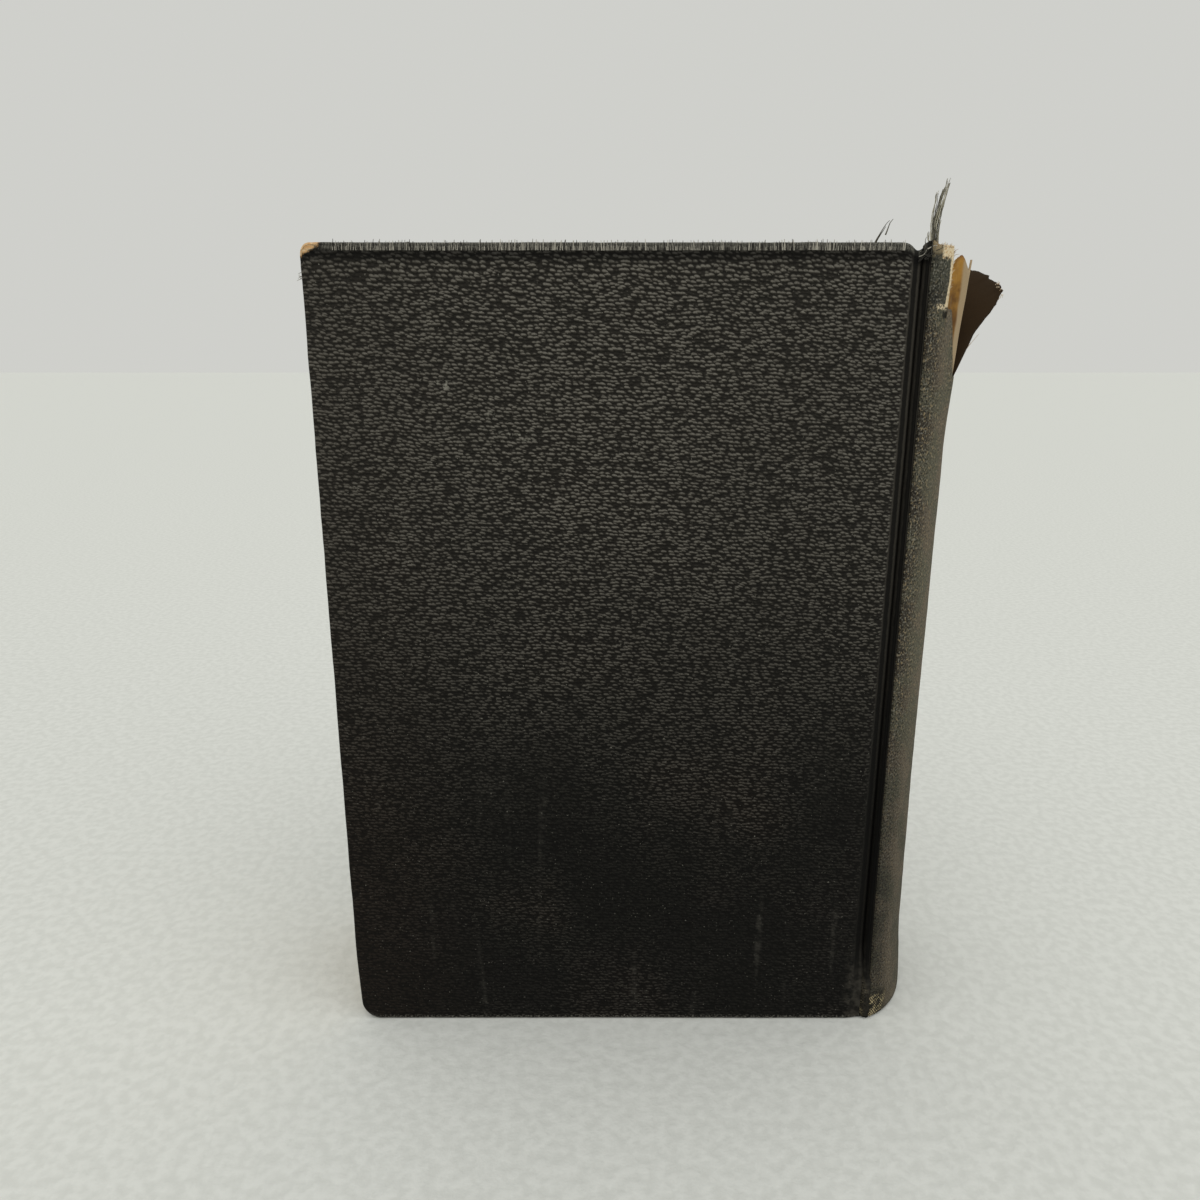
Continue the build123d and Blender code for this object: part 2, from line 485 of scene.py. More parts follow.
        colour = tree.mix(broad.ramp(0.45, 0.75) * 0.5, self.ground, self.brown)
        colour = tree.mix(u.ramp(42 * MM, 0.0) * 0.45, colour, self.brown)
        # greyer towards the top: partly worn, dusty cloth, partly painted light falling from above
        colour = tree.mix((up * 0.75 + (specks - 0.5) * 0.5).most(0.0), colour, self.worn_grey_and_top_light)
        # painted shade: the grain's creases and the pebbles' lower sides are darkened towards deep black
        colour = tree.mix(pebbles.ramp(0.40, 0.05) * grained * 0.6, colour, self.deep)
        colour = tree.mix(lower * grained * 0.5, colour, self.deep)
        # greyed pebble tops: dust plus painted highlight
        colour = tree.mix(crest_dust_and_highlight, colour, self.crest_dust_and_highlight)
        streaked = streaks.ramp(0.60, 0.78) * fine.ramp(0.40, 0.62) * v.ramp(100 * MM, 20 * MM)
        colour = tree.mix(streaked * 0.14, colour, self.crest_dust_and_highlight)
        colour = tree.mix(speck * 0.7, colour, self.thread_grey)
        # painted shade: a dark band along the head edge, under the frayed threads
        colour = tree.mix((self.head_v - v).ramp(4.4 * MM, 2.4 * MM) * 0.75, colour, self.deep)
        colour = tree.mix(edge_wear * 0.8, colour, self.thread_grey)
        colour = self.shade_joint(tree, u, v, fine, colour)
        for scuff in self.scuffs:
            colour = tree.mix(self.rubbed_patch(tree, place, scuff), colour, self.thread_grey)
        height = pebbles * grained * 0.75 + threads * 0.10 + specks * 0.15
        if self.bare_corner:
            colour = self.bare_board(tree, place, colour, fine, specks)
        if self.spine_end_u:
            colour, height = self.wear_spine(tree, place, colour, threads, fine, specks)
        return tree.dress(
            Base_Color=colour,
            Roughness=0.72 - crest_dust_and_highlight * 0.18 + fine * 0.1,
            Normal=tree.bump(height, 0.32 * MM),
            Specular_IOR_Level=0.10,
        )

    def shade_joint(self, tree: FinishTree, u: Wire, v: Wire, fine: Wire, colour: Wire) -> Wire:
        """Two dark lines of painted shade along the joint's groove, which fade out near the tail.

        Args:
            tree: The material's tree.
            u: Place across the cover.
            v: Place up the cover.
            fine: Fine noise.
            colour: The cloth's colour so far.

        Returns:
            The colour with the joint's painted shade.
        """
        here = u + (fine - 0.5) * 0.5 * MM
        fold = here.ramp(self.joint_u, self.joint_u + 0.4 * MM)
        fold = fold * here.ramp(self.joint_u + 1.8 * MM, self.joint_u + 1.3 * MM)
        cleft = here.ramp(self.joint_u + 2.0 * MM, self.joint_u + 2.5 * MM)
        scraped = here.ramp(self.joint_u - 3 * MM, self.joint_u) * v.ramp(26 * MM, 10 * MM)
        colour = tree.mix(scraped * fine.ramp(0.38, 0.62) * 0.6, colour, self.worn_grey_and_top_light)
        # painted shade in the groove's fold and cleft
        share = fold.most(cleft) * (v.ramp(8 * MM, 20 * MM) * 0.85)
        return tree.mix(share, colour, self.deep)

    def bare_board(self, tree: FinishTree, place: Wire, colour: Wire, fine: Wire, specks: Wire) -> Wire:
        """Board showing where the head corner is worn through.

        Args:
            tree: The material's tree.
            place: The UV place.
            colour: The cloth's colour so far.
            fine: Fine noise.
            specks: Finer noise.

        Returns:
            The colour with the bare corner.
        """
        u, v, _ = tree.split(place)
        down = (self.head_v - v).most(0.0) / self.bare_corner
        along = u.most(0.0) / (self.bare_corner * 2.2)
        reach = down.power(1.5) + along.power(2.0) + (fine - 0.5) * 0.7 + (specks - 0.5) * 0.9
        rim = tree.mix(specks.ramp(0.45, 0.6) * 0.5, self.board_tan, self.cream)
        colour = tree.mix(reach.ramp(1.9, 1.1) * 0.8, colour, self.deep)
        return tree.mix(reach.ramp(1.15, 0.70), colour, rim)

    def wear_spine(
        self, tree: FinishTree, place: Wire, colour: Wire, threads: Wire, fine: Wire, specks: Wire
    ) -> tuple[Wire, Wire]:
        """Mottling of the rubbed spine.

        Args:
            tree: The material's tree.
            place: The UV place.
            colour: The cloth's colour so far.
            threads: Weave height.
            fine: Fine noise.
            specks: Finer noise.

        Returns:
            The spine's colour and height.
        """
        u, v, _ = tree.split(place)
        middle = (self.joint_u + self.spine_end_u) / 2
        half = (self.spine_end_u - self.joint_u) / 2
        from_ridge = half - abs(u - middle)
        on_spine = (from_ridge + v.ramp(16 * MM, 7 * MM) * 2.4 * MM).ramp(2.2 * MM, 3.4 * MM)
        near_ridge = from_ridge.ramp(14 * MM, 7 * MM)
        mottle = tree.cloud(place, 1.1 * MM, 6.0, 21.0)
        pepper = tree.cloud(place, 0.55 * MM, 4.0, 31.0)
        patch = tree.cloud(place, 9 * MM, 3.0, 4.0)
        high_up = v.ramp(60 * MM, 110 * MM)
        strip = v.ramp(self.tear_v - 1 * MM, self.tear_v + 1 * MM)
        grey_brown = rgb(0.150, 0.122, 0.086)
        olive = rgb(0.115, 0.108, 0.074)
        base = tree.mix(patch.ramp(0.4, 0.6), grey_brown, olive)
        base = tree.mix(strip * 0.7, base, rgb(0.075, 0.078, 0.060))
        dark = near_ridge * patch.ramp(0.62, 0.40) * 0.5 + near_ridge * 0.25
        base = tree.mix(dark * (high_up * 0.6 + 0.4), base, self.ground)
        gold = mottle.ramp(0.50, 0.60) * pepper.ramp(0.45, 0.60) * (1.0 - strip * 0.7)
        base = tree.mix(gold * (near_ridge * 0.3 + 0.6) * (high_up * 0.5 + 0.5), base, self.worn_tan)
        base = tree.mix(specks.ramp(0.53, 0.64) * (near_ridge * 0.3 + 0.35), base, self.thread_grey)
        base = tree.mix(pepper.ramp(0.50, 0.40) * (near_ridge * 0.4 + 0.45), base, self.ground)
        grime = v.ramp(115 * MM, 30 * MM) * (patch.ramp(0.30, 0.70) * 0.30 + near_ridge * 0.3 + 0.15)
        base = tree.mix(grime, base, self.ground)
        ridge_wear = from_ridge.ramp(2.4 * MM, 3.0 * MM) * from_ridge.ramp(5.2 * MM, 3.8 * MM)
        ridge_wear = ridge_wear * patch.ramp(0.42, 0.54) * pepper.ramp(0.44, 0.54)
        ridge_wear = ridge_wear * v.ramp(150 * MM, 60 * MM)
        base = tree.mix(ridge_wear * 0.8, base, self.gilt)
        tail_corner = (v + (patch - 0.5) * 5 * MM).ramp(8.5 * MM, 6.5 * MM)
        tail_corner = tail_corner * from_ridge.ramp(12.5 * MM, 9.5 * MM)
        turn = 2 * math.pi / (0.95 * MM)
        crossed = (u * turn + mottle * 9.0).sine() * ((v + u * 0.3) * turn + specks * 7.0).sine()
        bare = tree.cloud(place, 3.2 * MM, 2.0, 14.0).ramp(0.42, 0.56)
        gilt = tail_corner * (crossed * 0.5 + fine * 1.1).ramp(0.58, 0.78) * bare
        gilt = gilt * from_ridge.ramp(1 * MM, 4 * MM)
        base = tree.mix(tail_corner * 0.7, base, self.ground)
        base = tree.mix(gilt, base, self.gilt)
        head_rub = v.ramp(self.head_v - 2.4 * MM, self.head_v) * fine.ramp(0.35, 0.5)
        base = tree.mix(head_rub, base, self.worn_tan)
        if self.near_tear_u:
            base = self.dress_tear(tree, place, base, pepper, specks)
        colour = tree.mix(on_spine, colour, base)
        return colour, threads * 0.3 + mottle * 0.4 + pepper * 0.3

    def dress_tear(self, tree: FinishTree, place: Wire, base: Wire, pepper: Wire, specks: Wire) -> Wire:
        """Cream torn edge of the near strip and the crease below it.

        Args:
            tree: The material's tree.
            place: The UV place.
            base: The spine's colour so far.
            pepper: Fine noise.
            specks: Finer noise.

        Returns:
            The colour with the tear's wear.
        """
        u, v, _ = tree.split(place)
        ragged = (specks - 0.5) * 0.8 * MM
        above = v.ramp(self.tear_v - 0.3 * MM, self.tear_v + 0.3 * MM)
        past = self.near_tear_u + 0.6 * MM
        before = u.ramp(past, past - 0.2 * MM)
        rim = (u + ragged).ramp(self.near_tear_u - 1.0 * MM, self.near_tear_u - 0.6 * MM) * above * before
        cap_near = (u + ragged * 2.0).ramp(self.near_tear_u - 4.4 * MM, self.near_tear_u - 3.4 * MM) * before
        cap = (v + ragged * 3.0).ramp(self.head_v - 2.6 * MM, self.head_v - 1.4 * MM) * cap_near
        crease = abs(v - self.tear_v + ragged).ramp(0.75 * MM, 0.35 * MM)
        crease = crease * u.ramp(self.near_tear_u - 4.8 * MM, self.near_tear_u - 3.6 * MM) * before
        torn_low = abs(v - self.tear_v + 1.7 * MM + ragged).ramp(1.0 * MM, 0.5 * MM)
        torn_low = torn_low * (u + ragged).ramp(self.near_tear_u - 2.2 * MM, self.near_tear_u - 1.4 * MM)
        base = tree.mix(torn_low * before * 0.8, base, self.deep)
        base = tree.mix(crease * pepper.ramp(0.42, 0.55) * 0.85, base, self.cream)
        base = tree.mix(cap, base, tree.mix(pepper.ramp(0.34, 0.50), self.board_tan, self.cream))
        return tree.mix(rim, base, self.cream)


@dataclass(frozen=True)
class Strawboard:
    """Tan binder's board with short fibres."""

    name: str = "strawboard"
    tan: Colour = rgb(0.50, 0.285, 0.125)
    pale: Colour = rgb(0.66, 0.45, 0.25)
    dark: Colour = rgb(0.20, 0.10, 0.045)

    def build(self) -> bpy.types.Material:
        """Makes the board's material.

        Returns:
            The finished material.
        """
        tree = FinishTree(self.name)
        place = tree.object_place()
        pulp = tree.cloud(place, 1.4 * MM, 5.0)
        layers = tree.noise(place, (400.0, 4200.0, 400.0), 2.0)
        colour = tree.mix(pulp.ramp(0.35, 0.65), self.tan, self.pale)
        colour = tree.mix(layers.ramp(0.58, 0.72) * 0.6, colour, self.dark)
        normal = tree.bump(pulp * 0.5 + layers * 0.5, 0.15 * MM)
        return tree.dress(Base_Color=colour, Roughness=0.9 - pulp * 0.1, Normal=normal)


@dataclass(frozen=True)
class StainedInlay:
    """Glue-stained paper behind the spine: orange-brown where it was covered, tan at its rubbed edge."""

    name: str
    head_v: float
    tan_u: float
    amber: Colour = rgb(0.37, 0.19, 0.038)
    shade: Colour = rgb(0.12, 0.055, 0.016)
    tan: Colour = rgb(0.37, 0.275, 0.165)
    peak: Colour = rgb(0.17, 0.075, 0.035)

    def build(self) -> bpy.types.Material:
        """Makes the inlay's material.

        Returns:
            The finished material.
        """
        tree = FinishTree(self.name)
        place = tree.cloth_place()
        u, v, _ = tree.split(place)
        fibre = tree.noise(place, (2400.0, 240.0, 1.0), 4.0)
        stain = tree.cloud(place, 6 * MM, 4.0, 2.0)
        colour = tree.mix(stain.ramp(0.35, 0.62), self.shade, self.amber)
        colour = tree.mix(v.ramp(self.head_v - 9 * MM, self.head_v - 22 * MM) * 0.6, colour, self.shade)
        edge = u + (stain - 0.5) * 1.2 * MM
        colour = tree.mix(edge.ramp(self.tan_u - 0.5 * MM, self.tan_u + 0.3 * MM), colour, self.tan)
        top = v + (fibre - 0.5) * 2.4 * MM
        colour = tree.mix(top.ramp(self.head_v - 2.2 * MM, self.head_v - 0.6 * MM) * 0.75, colour, self.peak)
        colour = tree.mix(fibre.ramp(0.55, 0.8) * 0.35, colour, self.tan)
        return tree.dress(
            Base_Color=colour,
            Roughness=0.8 + stain * 0.12,
            Normal=tree.bump(fibre, 0.12 * MM),
            Specular_IOR_Level=0.15,
        )


@dataclass(frozen=True)
class AgedPaper:
    """Cream paper that has browned, for leaves, endpapers and linings."""

    name: str
    cream: Colour = rgb(0.62, 0.50, 0.33)
    browned: Colour = rgb(0.42, 0.28, 0.14)
    leafed: bool = False

    def build(self) -> bpy.types.Material:
        """Makes the paper's material.

        Returns:
            The finished material.
        """
        tree = FinishTree(self.name)
        place = tree.object_place()
        foxing = tree.cloud(place, 7 * MM, 5.0)
        tone = tree.cloud(place, 60 * MM, 3.0, 1.0)
        fibre = tree.cloud(place, 0.5 * MM, 3.0, 8.0)
        colour = tree.mix(tone.ramp(0.35, 0.7) * 0.5, self.cream, self.browned)
        colour = tree.mix(foxing.ramp(0.62, 0.75) * 0.35, colour, self.browned)
        if self.leafed:
            leaf = tree.noise(place, (1 / (14 * MM), 1 / (0.16 * MM), 1 / (14 * MM)), 2.0)
            colour = tree.mix(leaf.ramp(0.52, 0.68) * 0.6, colour, self.browned)
        return tree.dress(
            Base_Color=colour,
            Roughness=0.86 + fibre * 0.08,
            Normal=tree.bump(fibre, 0.04 * MM),
            Specular_IOR_Level=0.15,
        )


@dataclass(frozen=True)
class OpenMull:
    """Loose cotton gauze pasted over the backs of the sections."""

    name: str = "open_mull"
    cotton: Colour = rgb(0.50, 0.43, 0.31)
    gap: Colour = rgb(0.22, 0.15, 0.08)

    def build(self) -> bpy.types.Material:
        """Makes the gauze's material.

        Returns:
            The finished material.
        """
        tree = FinishTree(self.name)
        place = tree.object_place()
        _, y, z = tree.split(place)
        turn = 2 * math.pi / Weave.MULL.value
        threads = ((y * turn).sine().most((z * turn).sine())).ramp(0.35, 0.75)
        colour = tree.mix(threads, self.gap, self.cotton)
        normal = tree.bump(threads, 0.2 * MM)
        return tree.dress(Base_Color=colour, Roughness=0.9 - threads * 0.05, Normal=normal)


@dataclass(frozen=True)
class LooseThread:
    """Frayed thread whose tone changes from one thread to the next."""

    name: str
    dark: Colour = rgb(0.030, 0.027, 0.022)
    light: Colour = rgb(0.48, 0.45, 0.38)

    def build(self) -> bpy.types.Material:
        """Makes the thread's material.

        Returns:
            The finished material.
        """
        tree = FinishTree(self.name)
        tone = tree.add("ShaderNodeAttribute", {"attribute_name": "thread_tone"}, output="Fac")
        lint = tree.cloud(tree.object_place(), 0.5 * MM, 2.0)
        colour = tree.mix((tone + (lint - 0.5) * 0.7).ramp(0.1, 0.95), self.dark, self.light)
        return tree.dress(Base_Color=colour, Roughness=0.85 + lint * 0.1, Normal=tree.bump(lint, 0.03 * MM))


@dataclass(frozen=True)
class StudioFloor:
    """Plain pale felted floor."""

    name: str = "studio_floor"
    pale: Colour = rgb(0.665, 0.675, 0.64)
    shade: Colour = rgb(0.605, 0.615, 0.58)

    def build(self) -> bpy.types.Material:
        """Makes the floor's material.

        Returns:
            The finished material.
        """
        tree = FinishTree(self.name)
        felt = tree.cloud(tree.object_place(), 3 * MM, 5.0)
        colour = tree.mix(felt.ramp(0.35, 0.65), self.shade, self.pale)
        return tree.dress(Base_Color=colour, Roughness=0.95 - felt * 0.02, Normal=tree.bump(felt, 0.3 * MM))


# ---- Meshes ----


class MeshDraft:
    """Points, faces and UV places that become one object."""

    def __init__(self) -> None:
        """Starts empty."""
        self.points: list[Point] = []
        self.places: list[Place] = []
        self.faces: list[tuple[int, ...]] = []
        self.thin: list[float] = []

    def point(self, where: Point, place: Place = (0.0, 0.0), thickness: float = 1.0) -> int:
        """Adds a point and returns its number.

        Args:
            where: Its place.
            place: Its UV place.
            thickness: Share of the full thickness there.

        Returns:
            The point's number.
        """
        self.points.append(where)
        self.places.append(place)
        self.thin.append(thickness)
        return len(self.points) - 1

    def patch(
        self,
        rows: Sequence[Sequence[int]],
        keep: Callable[[int, int], bool] | None = None,
        closed: bool = False,
        flip: bool = False,
    ) -> None:
        """Faces between rows of points.

        Args:
            rows: Point numbers, row by row, all of one length.
            keep: Says whether the face at a row and column is made.
            closed: Joins each row's last point to its first.
            flip: Turns the faces round.
        """
        for i in range(len(rows) - 1):
            count = len(rows[i])
            for j in range(count if closed else count - 1):
                k = (j + 1) % count
                if keep is not None and not keep(i, j):
                    continue
                face = (rows[i][j], rows[i][k], rows[i + 1][k], rows[i + 1][j])
                self.faces.append(face[::-1] if flip else face)

    def make(self, name: str, finish: bpy.types.Material) -> bpy.types.Object:
        """Makes the object.

        Args:
            name: The piece's name.
            finish: Its material.

        Returns:
            The smooth-shaded piece, at the origin.
        """
        used = sorted({number for face in self.faces for number in face})
        renumber = {old: new for new, old in enumerate(used)}
        mesh = bpy.data.meshes.new(name)
        faces = [tuple(renumber[number] for number in face) for face in self.faces]
        mesh.from_pydata([self.points[old] for old in used], [], faces)
        layer = mesh.uv_layers.new(name="cloth")
        for loop in mesh.loops:
            layer.data[loop.index].uv = self.places[used[loop.vertex_index]]
        mesh.polygons.foreach_set("use_smooth", [True] * len(mesh.polygons))
        mesh.materials.append(finish)
        mesh.update()
        piece = link_object(name, mesh)
        group = piece.vertex_groups.new(name="thickness")
        for new, old in enumerate(used):
            group.add([new], self.thin[old], "REPLACE")
        return piece


def link_object(name: str, data: bpy.types.ID) -> bpy.types.Object:
    """Makes an object of some data and puts it in the scene."""
    made = bpy.data.objects.new(name, data)
    bpy.context.scene.collection.objects.link(made)
    return made


def settle_modifiers(piece: bpy.types.Object) -> None:
    """Turns a piece and its modifiers into a plain mesh.

    Args:
        piece: The piece, whose mesh is replaced.
    """
    evaluated = piece.evaluated_get(bpy.context.evaluated_depsgraph_get())
    mesh = bpy.data.meshes.new_from_object(evaluated)
    piece.modifiers.clear()
    old = piece.data
    piece.data = mesh
    mesh.name = piece.name
    bpy.data.meshes.remove(old)


def give_thickness(piece: bpy.types.Object, thickness: float) -> None:
    """Gives a sheet its thickness inwards, less where its points say so.

    Args:
        piece: The sheet.
        thickness: The full thickness, in metres.
    """
    solid = piece.modifiers.new("thickness", "SOLIDIFY")
    solid.thickness = thickness
    solid.offset = -1.0
    solid.vertex_group = "thickness"
    solid.thickness_vertex_group = 0.0
    solid.use_quality_normals = True
    settle_modifiers(piece)


def scattered(draw: random.Random, x: Place, y: Place, z: Place) -> Vector:
    """Vector whose parts are drawn in turn, each between two ends."""
    return Vector((draw.uniform(*x), draw.uniform(*y), draw.uniform(*z)))


def steps(start: float, end: float, spacing: float) -> list[float]:
    """Evenly spaced places from start up to, not including, end."""
    count = max(1, round((end - start) / spacing))
    return [start + (end - start) * i / count for i in range(count)]


# ---- Pieces ----


@dataclass
class CaseSection:
    """Shape of the case cloth's outer face over boards, joints and spine."""

    book: BookFrame
    worn_edge: float = 0.75 * MM
    groove_ends: float = 12 * MM
    groove_full: float = 24 * MM
    head_sag: float = 1.5 * MM
    head_rise: float = 0.85 * MM
    tail_step: float = 0.55 * MM
    spine_lean: float = 3.0 * MM

    def outer_level(self, x: float, z: float) -> float:
        """Distance of the cloth's outer face from the book's middle.

        Args:
            x: Place across the cover, up to the crease beside the spine.
            z: Height.

        Returns:
            The distance along Y.
        """
        b = self.book
        warp = 0.16 * MM * rough(x, 0.3, z, 60 * MM) + 0.05 * MM * rough(x, 0.7, z, 14 * MM)
        flat = b.cover_y - 0.15 * MM + warp
        slope = ease((x - (b.joint_x - 1.1 * MM)) / (b.crease_x - b.joint_x + 0.6 * MM))
        plunge = ease((x - (b.crease_x - 1.15 * MM)) / (1.1 * MM))
        ledge = blend_between(flat, b.crease_y + 0.9 * MM, slope)
        joint = blend_between(ledge, b.crease_y, plunge)
        shallow = blend_between(flat, b.cover_y - self.tail_step, ease((x - b.joint_x + 1 * MM) / (4 * MM)))
        return blend_between(shallow, joint, self.groove_share(z))

    def groove_share(self, z: float) -> float:
        """How much of the joint's depth there is at a height; it fades out near the tail."""
        return ease((z - self.groove_ends) / (self.groove_full - self.groove_ends))

    def lean(self, y: float, z: float) -> float:
        """How far the torn head of the spine stands out at a place across Y and a height."""
        side = ease((y + 15.5 * MM) / (5 * MM)) * ease((16 * MM - y) / (8 * MM))
        return self.spine_lean * side * max(0.0, (z - 152 * MM) / (45 * MM)) ** 1.3

    def head_drop(self, x: float) -> float:
        """How far the head edge sags, most where it crosses the joint.

        Args:
            x: Place across the cover or spine.

        Returns:
            The drop, in metres.
        """
        b = self.book
        away = (x - (b.joint_x + 1.6 * MM)) / (1.9 * MM)
        ragged = 0.12 * MM * rough(x, 2.0, 0.0, 5 * MM)
        return self.head_sag * math.exp(-away * away) + ragged - self.head_rise


@dataclass
class CoverCloth:
    """One cover's cloth: outer face, worn edges, turn-ins and its half of the joint."""

    book: BookFrame
    section: CaseSection
    side: Side
    thickness: float = 0.42 * MM
    turn_in: float = 14 * MM
    head_radius: float = 1.5 * MM
    tail_radius: float = 4.2 * MM
    blunt_tail: float = 1.1 * MM

    def across(self) -> list[float]:
        """Places across the cover, close together at the fore-edge and the joint.

        Returns:
            The places, from the fore-edge.
        """
        b = self.book
        start = b.fore_x + self.section.worn_edge
        near = steps(start, start + 4 * MM, 0.4 * MM)
        near += steps(start + 4 * MM, start + 10 * MM, 1 * MM)
        middle = steps(start + 10 * MM, b.joint_x - 4 * MM, 3 * MM)
        joint = steps(b.joint_x - 4 * MM, b.crease_x, 0.4 * MM)
        return near + middle + joint + [b.crease_x]

    def up(self) -> list[float]:
        """Heights, close together at the tail and the head.

        Returns:
            The heights, from the tail.
        """
        edge = self.section.worn_edge
        top = self.book.head_z - edge
        low = steps(edge, edge + 4 * MM, 0.5 * MM) + steps(edge + 4 * MM, edge + 24 * MM, 1.6 * MM)
        middle = steps(edge + 24 * MM, top - 10 * MM, 3 * MM)
        high = steps(top - 10 * MM, top - 4 * MM, 1 * MM) + steps(top - 4 * MM, top, 0.4 * MM)
        return low + middle + high + [top]

    def rounded(self, x: float, z: float) -> Place:
        """Moves a grid place so that the fore-edge corners are round and the tail one is blunt.

        Args:
            x: Place across the cover or spine.
            z: Height.

        Returns:
            The moved place.
        """
        b = self.book
        edge = self.section.worn_edge
        left, low, high = b.fore_x + edge, edge, b.head_z - edge
        for corner_z, sign, radius in ((low, 1, self.tail_radius), (high, -1, self.head_radius)):
            p = 1 - (x - left) / radius
            q = 1 - (z - corner_z) * sign / radius
            if p > 0 and q > 0:
                x = left + radius * (1 - p * math.sqrt(1 - q * q / 2))
                z = corner_z + sign * radius * (1 - q * math.sqrt(1 - p * p / 2))
                break
        inset = self.blunt_tail * math.exp(-z / (9 * MM))
        inset += 0.12 * MM * (1 + rough(x, 4.0, z, 11 * MM)) + 0.06 * MM * rough(x, 1.0, z, 1.5 * MM)
        return x + inset * ease((left + 12 * MM - x) / (12 * MM)), z

    def face_point(self, x: float, z: float) -> Point:
        """A point of the outer face, before it is placed on its side.

        Args:
            x: Place across the cover or spine.
            z: Height.

        Returns:
            The point, with its distance from the middle as Y.
        """
        fx, fz = self.rounded(x, z)
        share = ease((fz - self.book.head_z + 8 * MM) / (8 * MM))
        fz -= share * self.section.head_drop(fx)
        return fx, self.section.outer_level(fx, fz), fz

    def build(self, finish: bpy.types.Material) -> bpy.types.Object:
        """Builds the sheet and blends it across the joint.

        Args:
            finish: The cloth's material.

        Returns:
            The finished piece.
        """
        b = self.book
        sign = self.side.value
        draft = MeshDraft()
        xs, zs = self.across(), self.up()
        grid: list[list[int]] = []
        base: list[list[Point]] = []
        for x in xs:
            column, raw = [], []
            for z in zs:
                px, level, pz = self.face_point(x, z)
                raw.append((px, level, pz))
                joint_thin = 1.0 - 0.4 * ease((x - b.joint_x) / (2 * MM))
                column.append(draft.point((px, sign * level, pz), (x - b.fore_x, z), joint_thin))
            grid.append(column)
            base.append(raw)
        outward_flip = self.side is Side.BACK
        draft.patch(grid, flip=outward_flip)
        self.turn_edges(draft, grid, base, outward_flip)
        piece = draft.make(f"{self.side.word}_cover_cloth", finish)
        give_thickness(piece, self.thickness)
        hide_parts(f"{self.side.word}_cloth")
        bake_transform(piece)
        over_edge = 3 * MM
        wide = b.crease_x - b.fore_x + self.turn_in + over_edge
        tall = b.head_z + 2 * self.turn_in + 2 * over_edge
        return piece

    def turn_edges(
        self, draft: MeshDraft, grid: list[list[int]], base: list[list[Point]], flip: bool
    ) -> None:
        """Wraps the cloth round the tail, fore-edge and head and turns it in.

        Args:
            draft: The mesh being made.
            grid: Point numbers of the outer face, by column.
            base: The same points before they were placed on their side.
            flip: Whether faces are turned round.
        """
        last = len(grid) - 1
        top = len(grid[0]) - 1
        path = [(i, 0) for i in range(last, 0, -1)]
        path += [(0, j) for j in range(top)]
        path += [(i, top) for i in range(last + 1)]
        b = self.book
        sign = self.side.value
        rows = [[grid[i][j] for i, j in path]]
        edge = self.section.worn_edge
        inner = b.cloth_inner_y + 0.02 * MM
        quarter = [math.pi / 2 * k / 4 for k in range(1, 5)]
        profile = [(math.sin(a), 1.0, math.cos(a) - 1) for a in quarter]
        profile += [(1.0, 0.5, 0.0), (1.0, 0.0, 1.0)]
        profile += [(math.cos(a), 0.0, 1 - math.sin(a)) for a in quarter]
        directions = [self.outward(i, j, top, base) for i, j in path]
        for out_share, outer_share, offset in profile:
            row = []
            for (i, j), (dx, dz) in zip(path, directions):
                x, level, z = base[i][j]
                local = min(edge, max(level - inner, 0.3 * MM) / 2)
                y = blend_between(inner, level, outer_share) + local * offset
                reach = edge * out_share
                thin = 1.0 - 0.4 * ease((x - b.joint_x) / (2 * MM))
                cut = (x - b.fore_x + dx * (level - y), z + dz * (edge + level - y))
                row.append(draft.point((x + dx * reach, sign * y, z + dz * reach), cut, thin))
            rows.append(row)
        middle = b.head_z / 2
        wide = b.joint_x - b.fore_x
        over_edge = 3.5 * MM
        for inset in (0.6 * MM, 1.6 * MM, 3.5 * MM, 7 * MM, 11 * MM, self.turn_in):
            y = sign * (inner + 0.03 * MM * ease(inset / (3 * MM)))
            row = []
            for (i, j), (dx, dz) in zip(path, directions):
                x, _, z = base[i][j]
                nx = x + max(0.0, 1 - (x - b.fore_x) / wide) * inset
                nz = middle + (z - middle) * (middle - inset) / middle
                thin = blend_between(0.85, 0.35, ease((x - b.joint_x) / (2 * MM)))
                cut = (x - b.fore_x + dx * (over_edge + inset), z + dz * (over_edge + inset))
                row.append(draft.point((nx, y, nz), cut, thin))
            rows.append(row)
        draft.patch(rows, flip=not flip)

    def outward(self, i: int, j: int, top: int, base: list[list[Point]]) -> Place:
        """Direction in which the cover's edge faces at a border point.

        Args:
            i: Column of the border point.
            j: Its row.
            top: The last row.
            base: Points of the outer face.

        Returns:
            The direction in X and Z.
        """
        edge = self.section.worn_edge
        x, _, z = base[i][j]
        left = self.book.fore_x + edge
        for edge_z, sign, radius in (
            (edge, 1, self.tail_radius),
            (self.book.head_z - edge, -1, self.head_radius),
        ):
            cx, cz = left + radius, edge_z + sign * radius
            if x < cx and (z - cz) * sign < 0:
                size = math.hypot(x - cx, z - cz) or 1.0
                return (x - cx) / size, (z - cz) / size
        if i == 0 and 0 < j < top:
            return -1.0, 0.0
        return 0.0, (-1.0 if j == 0 else 1.0)


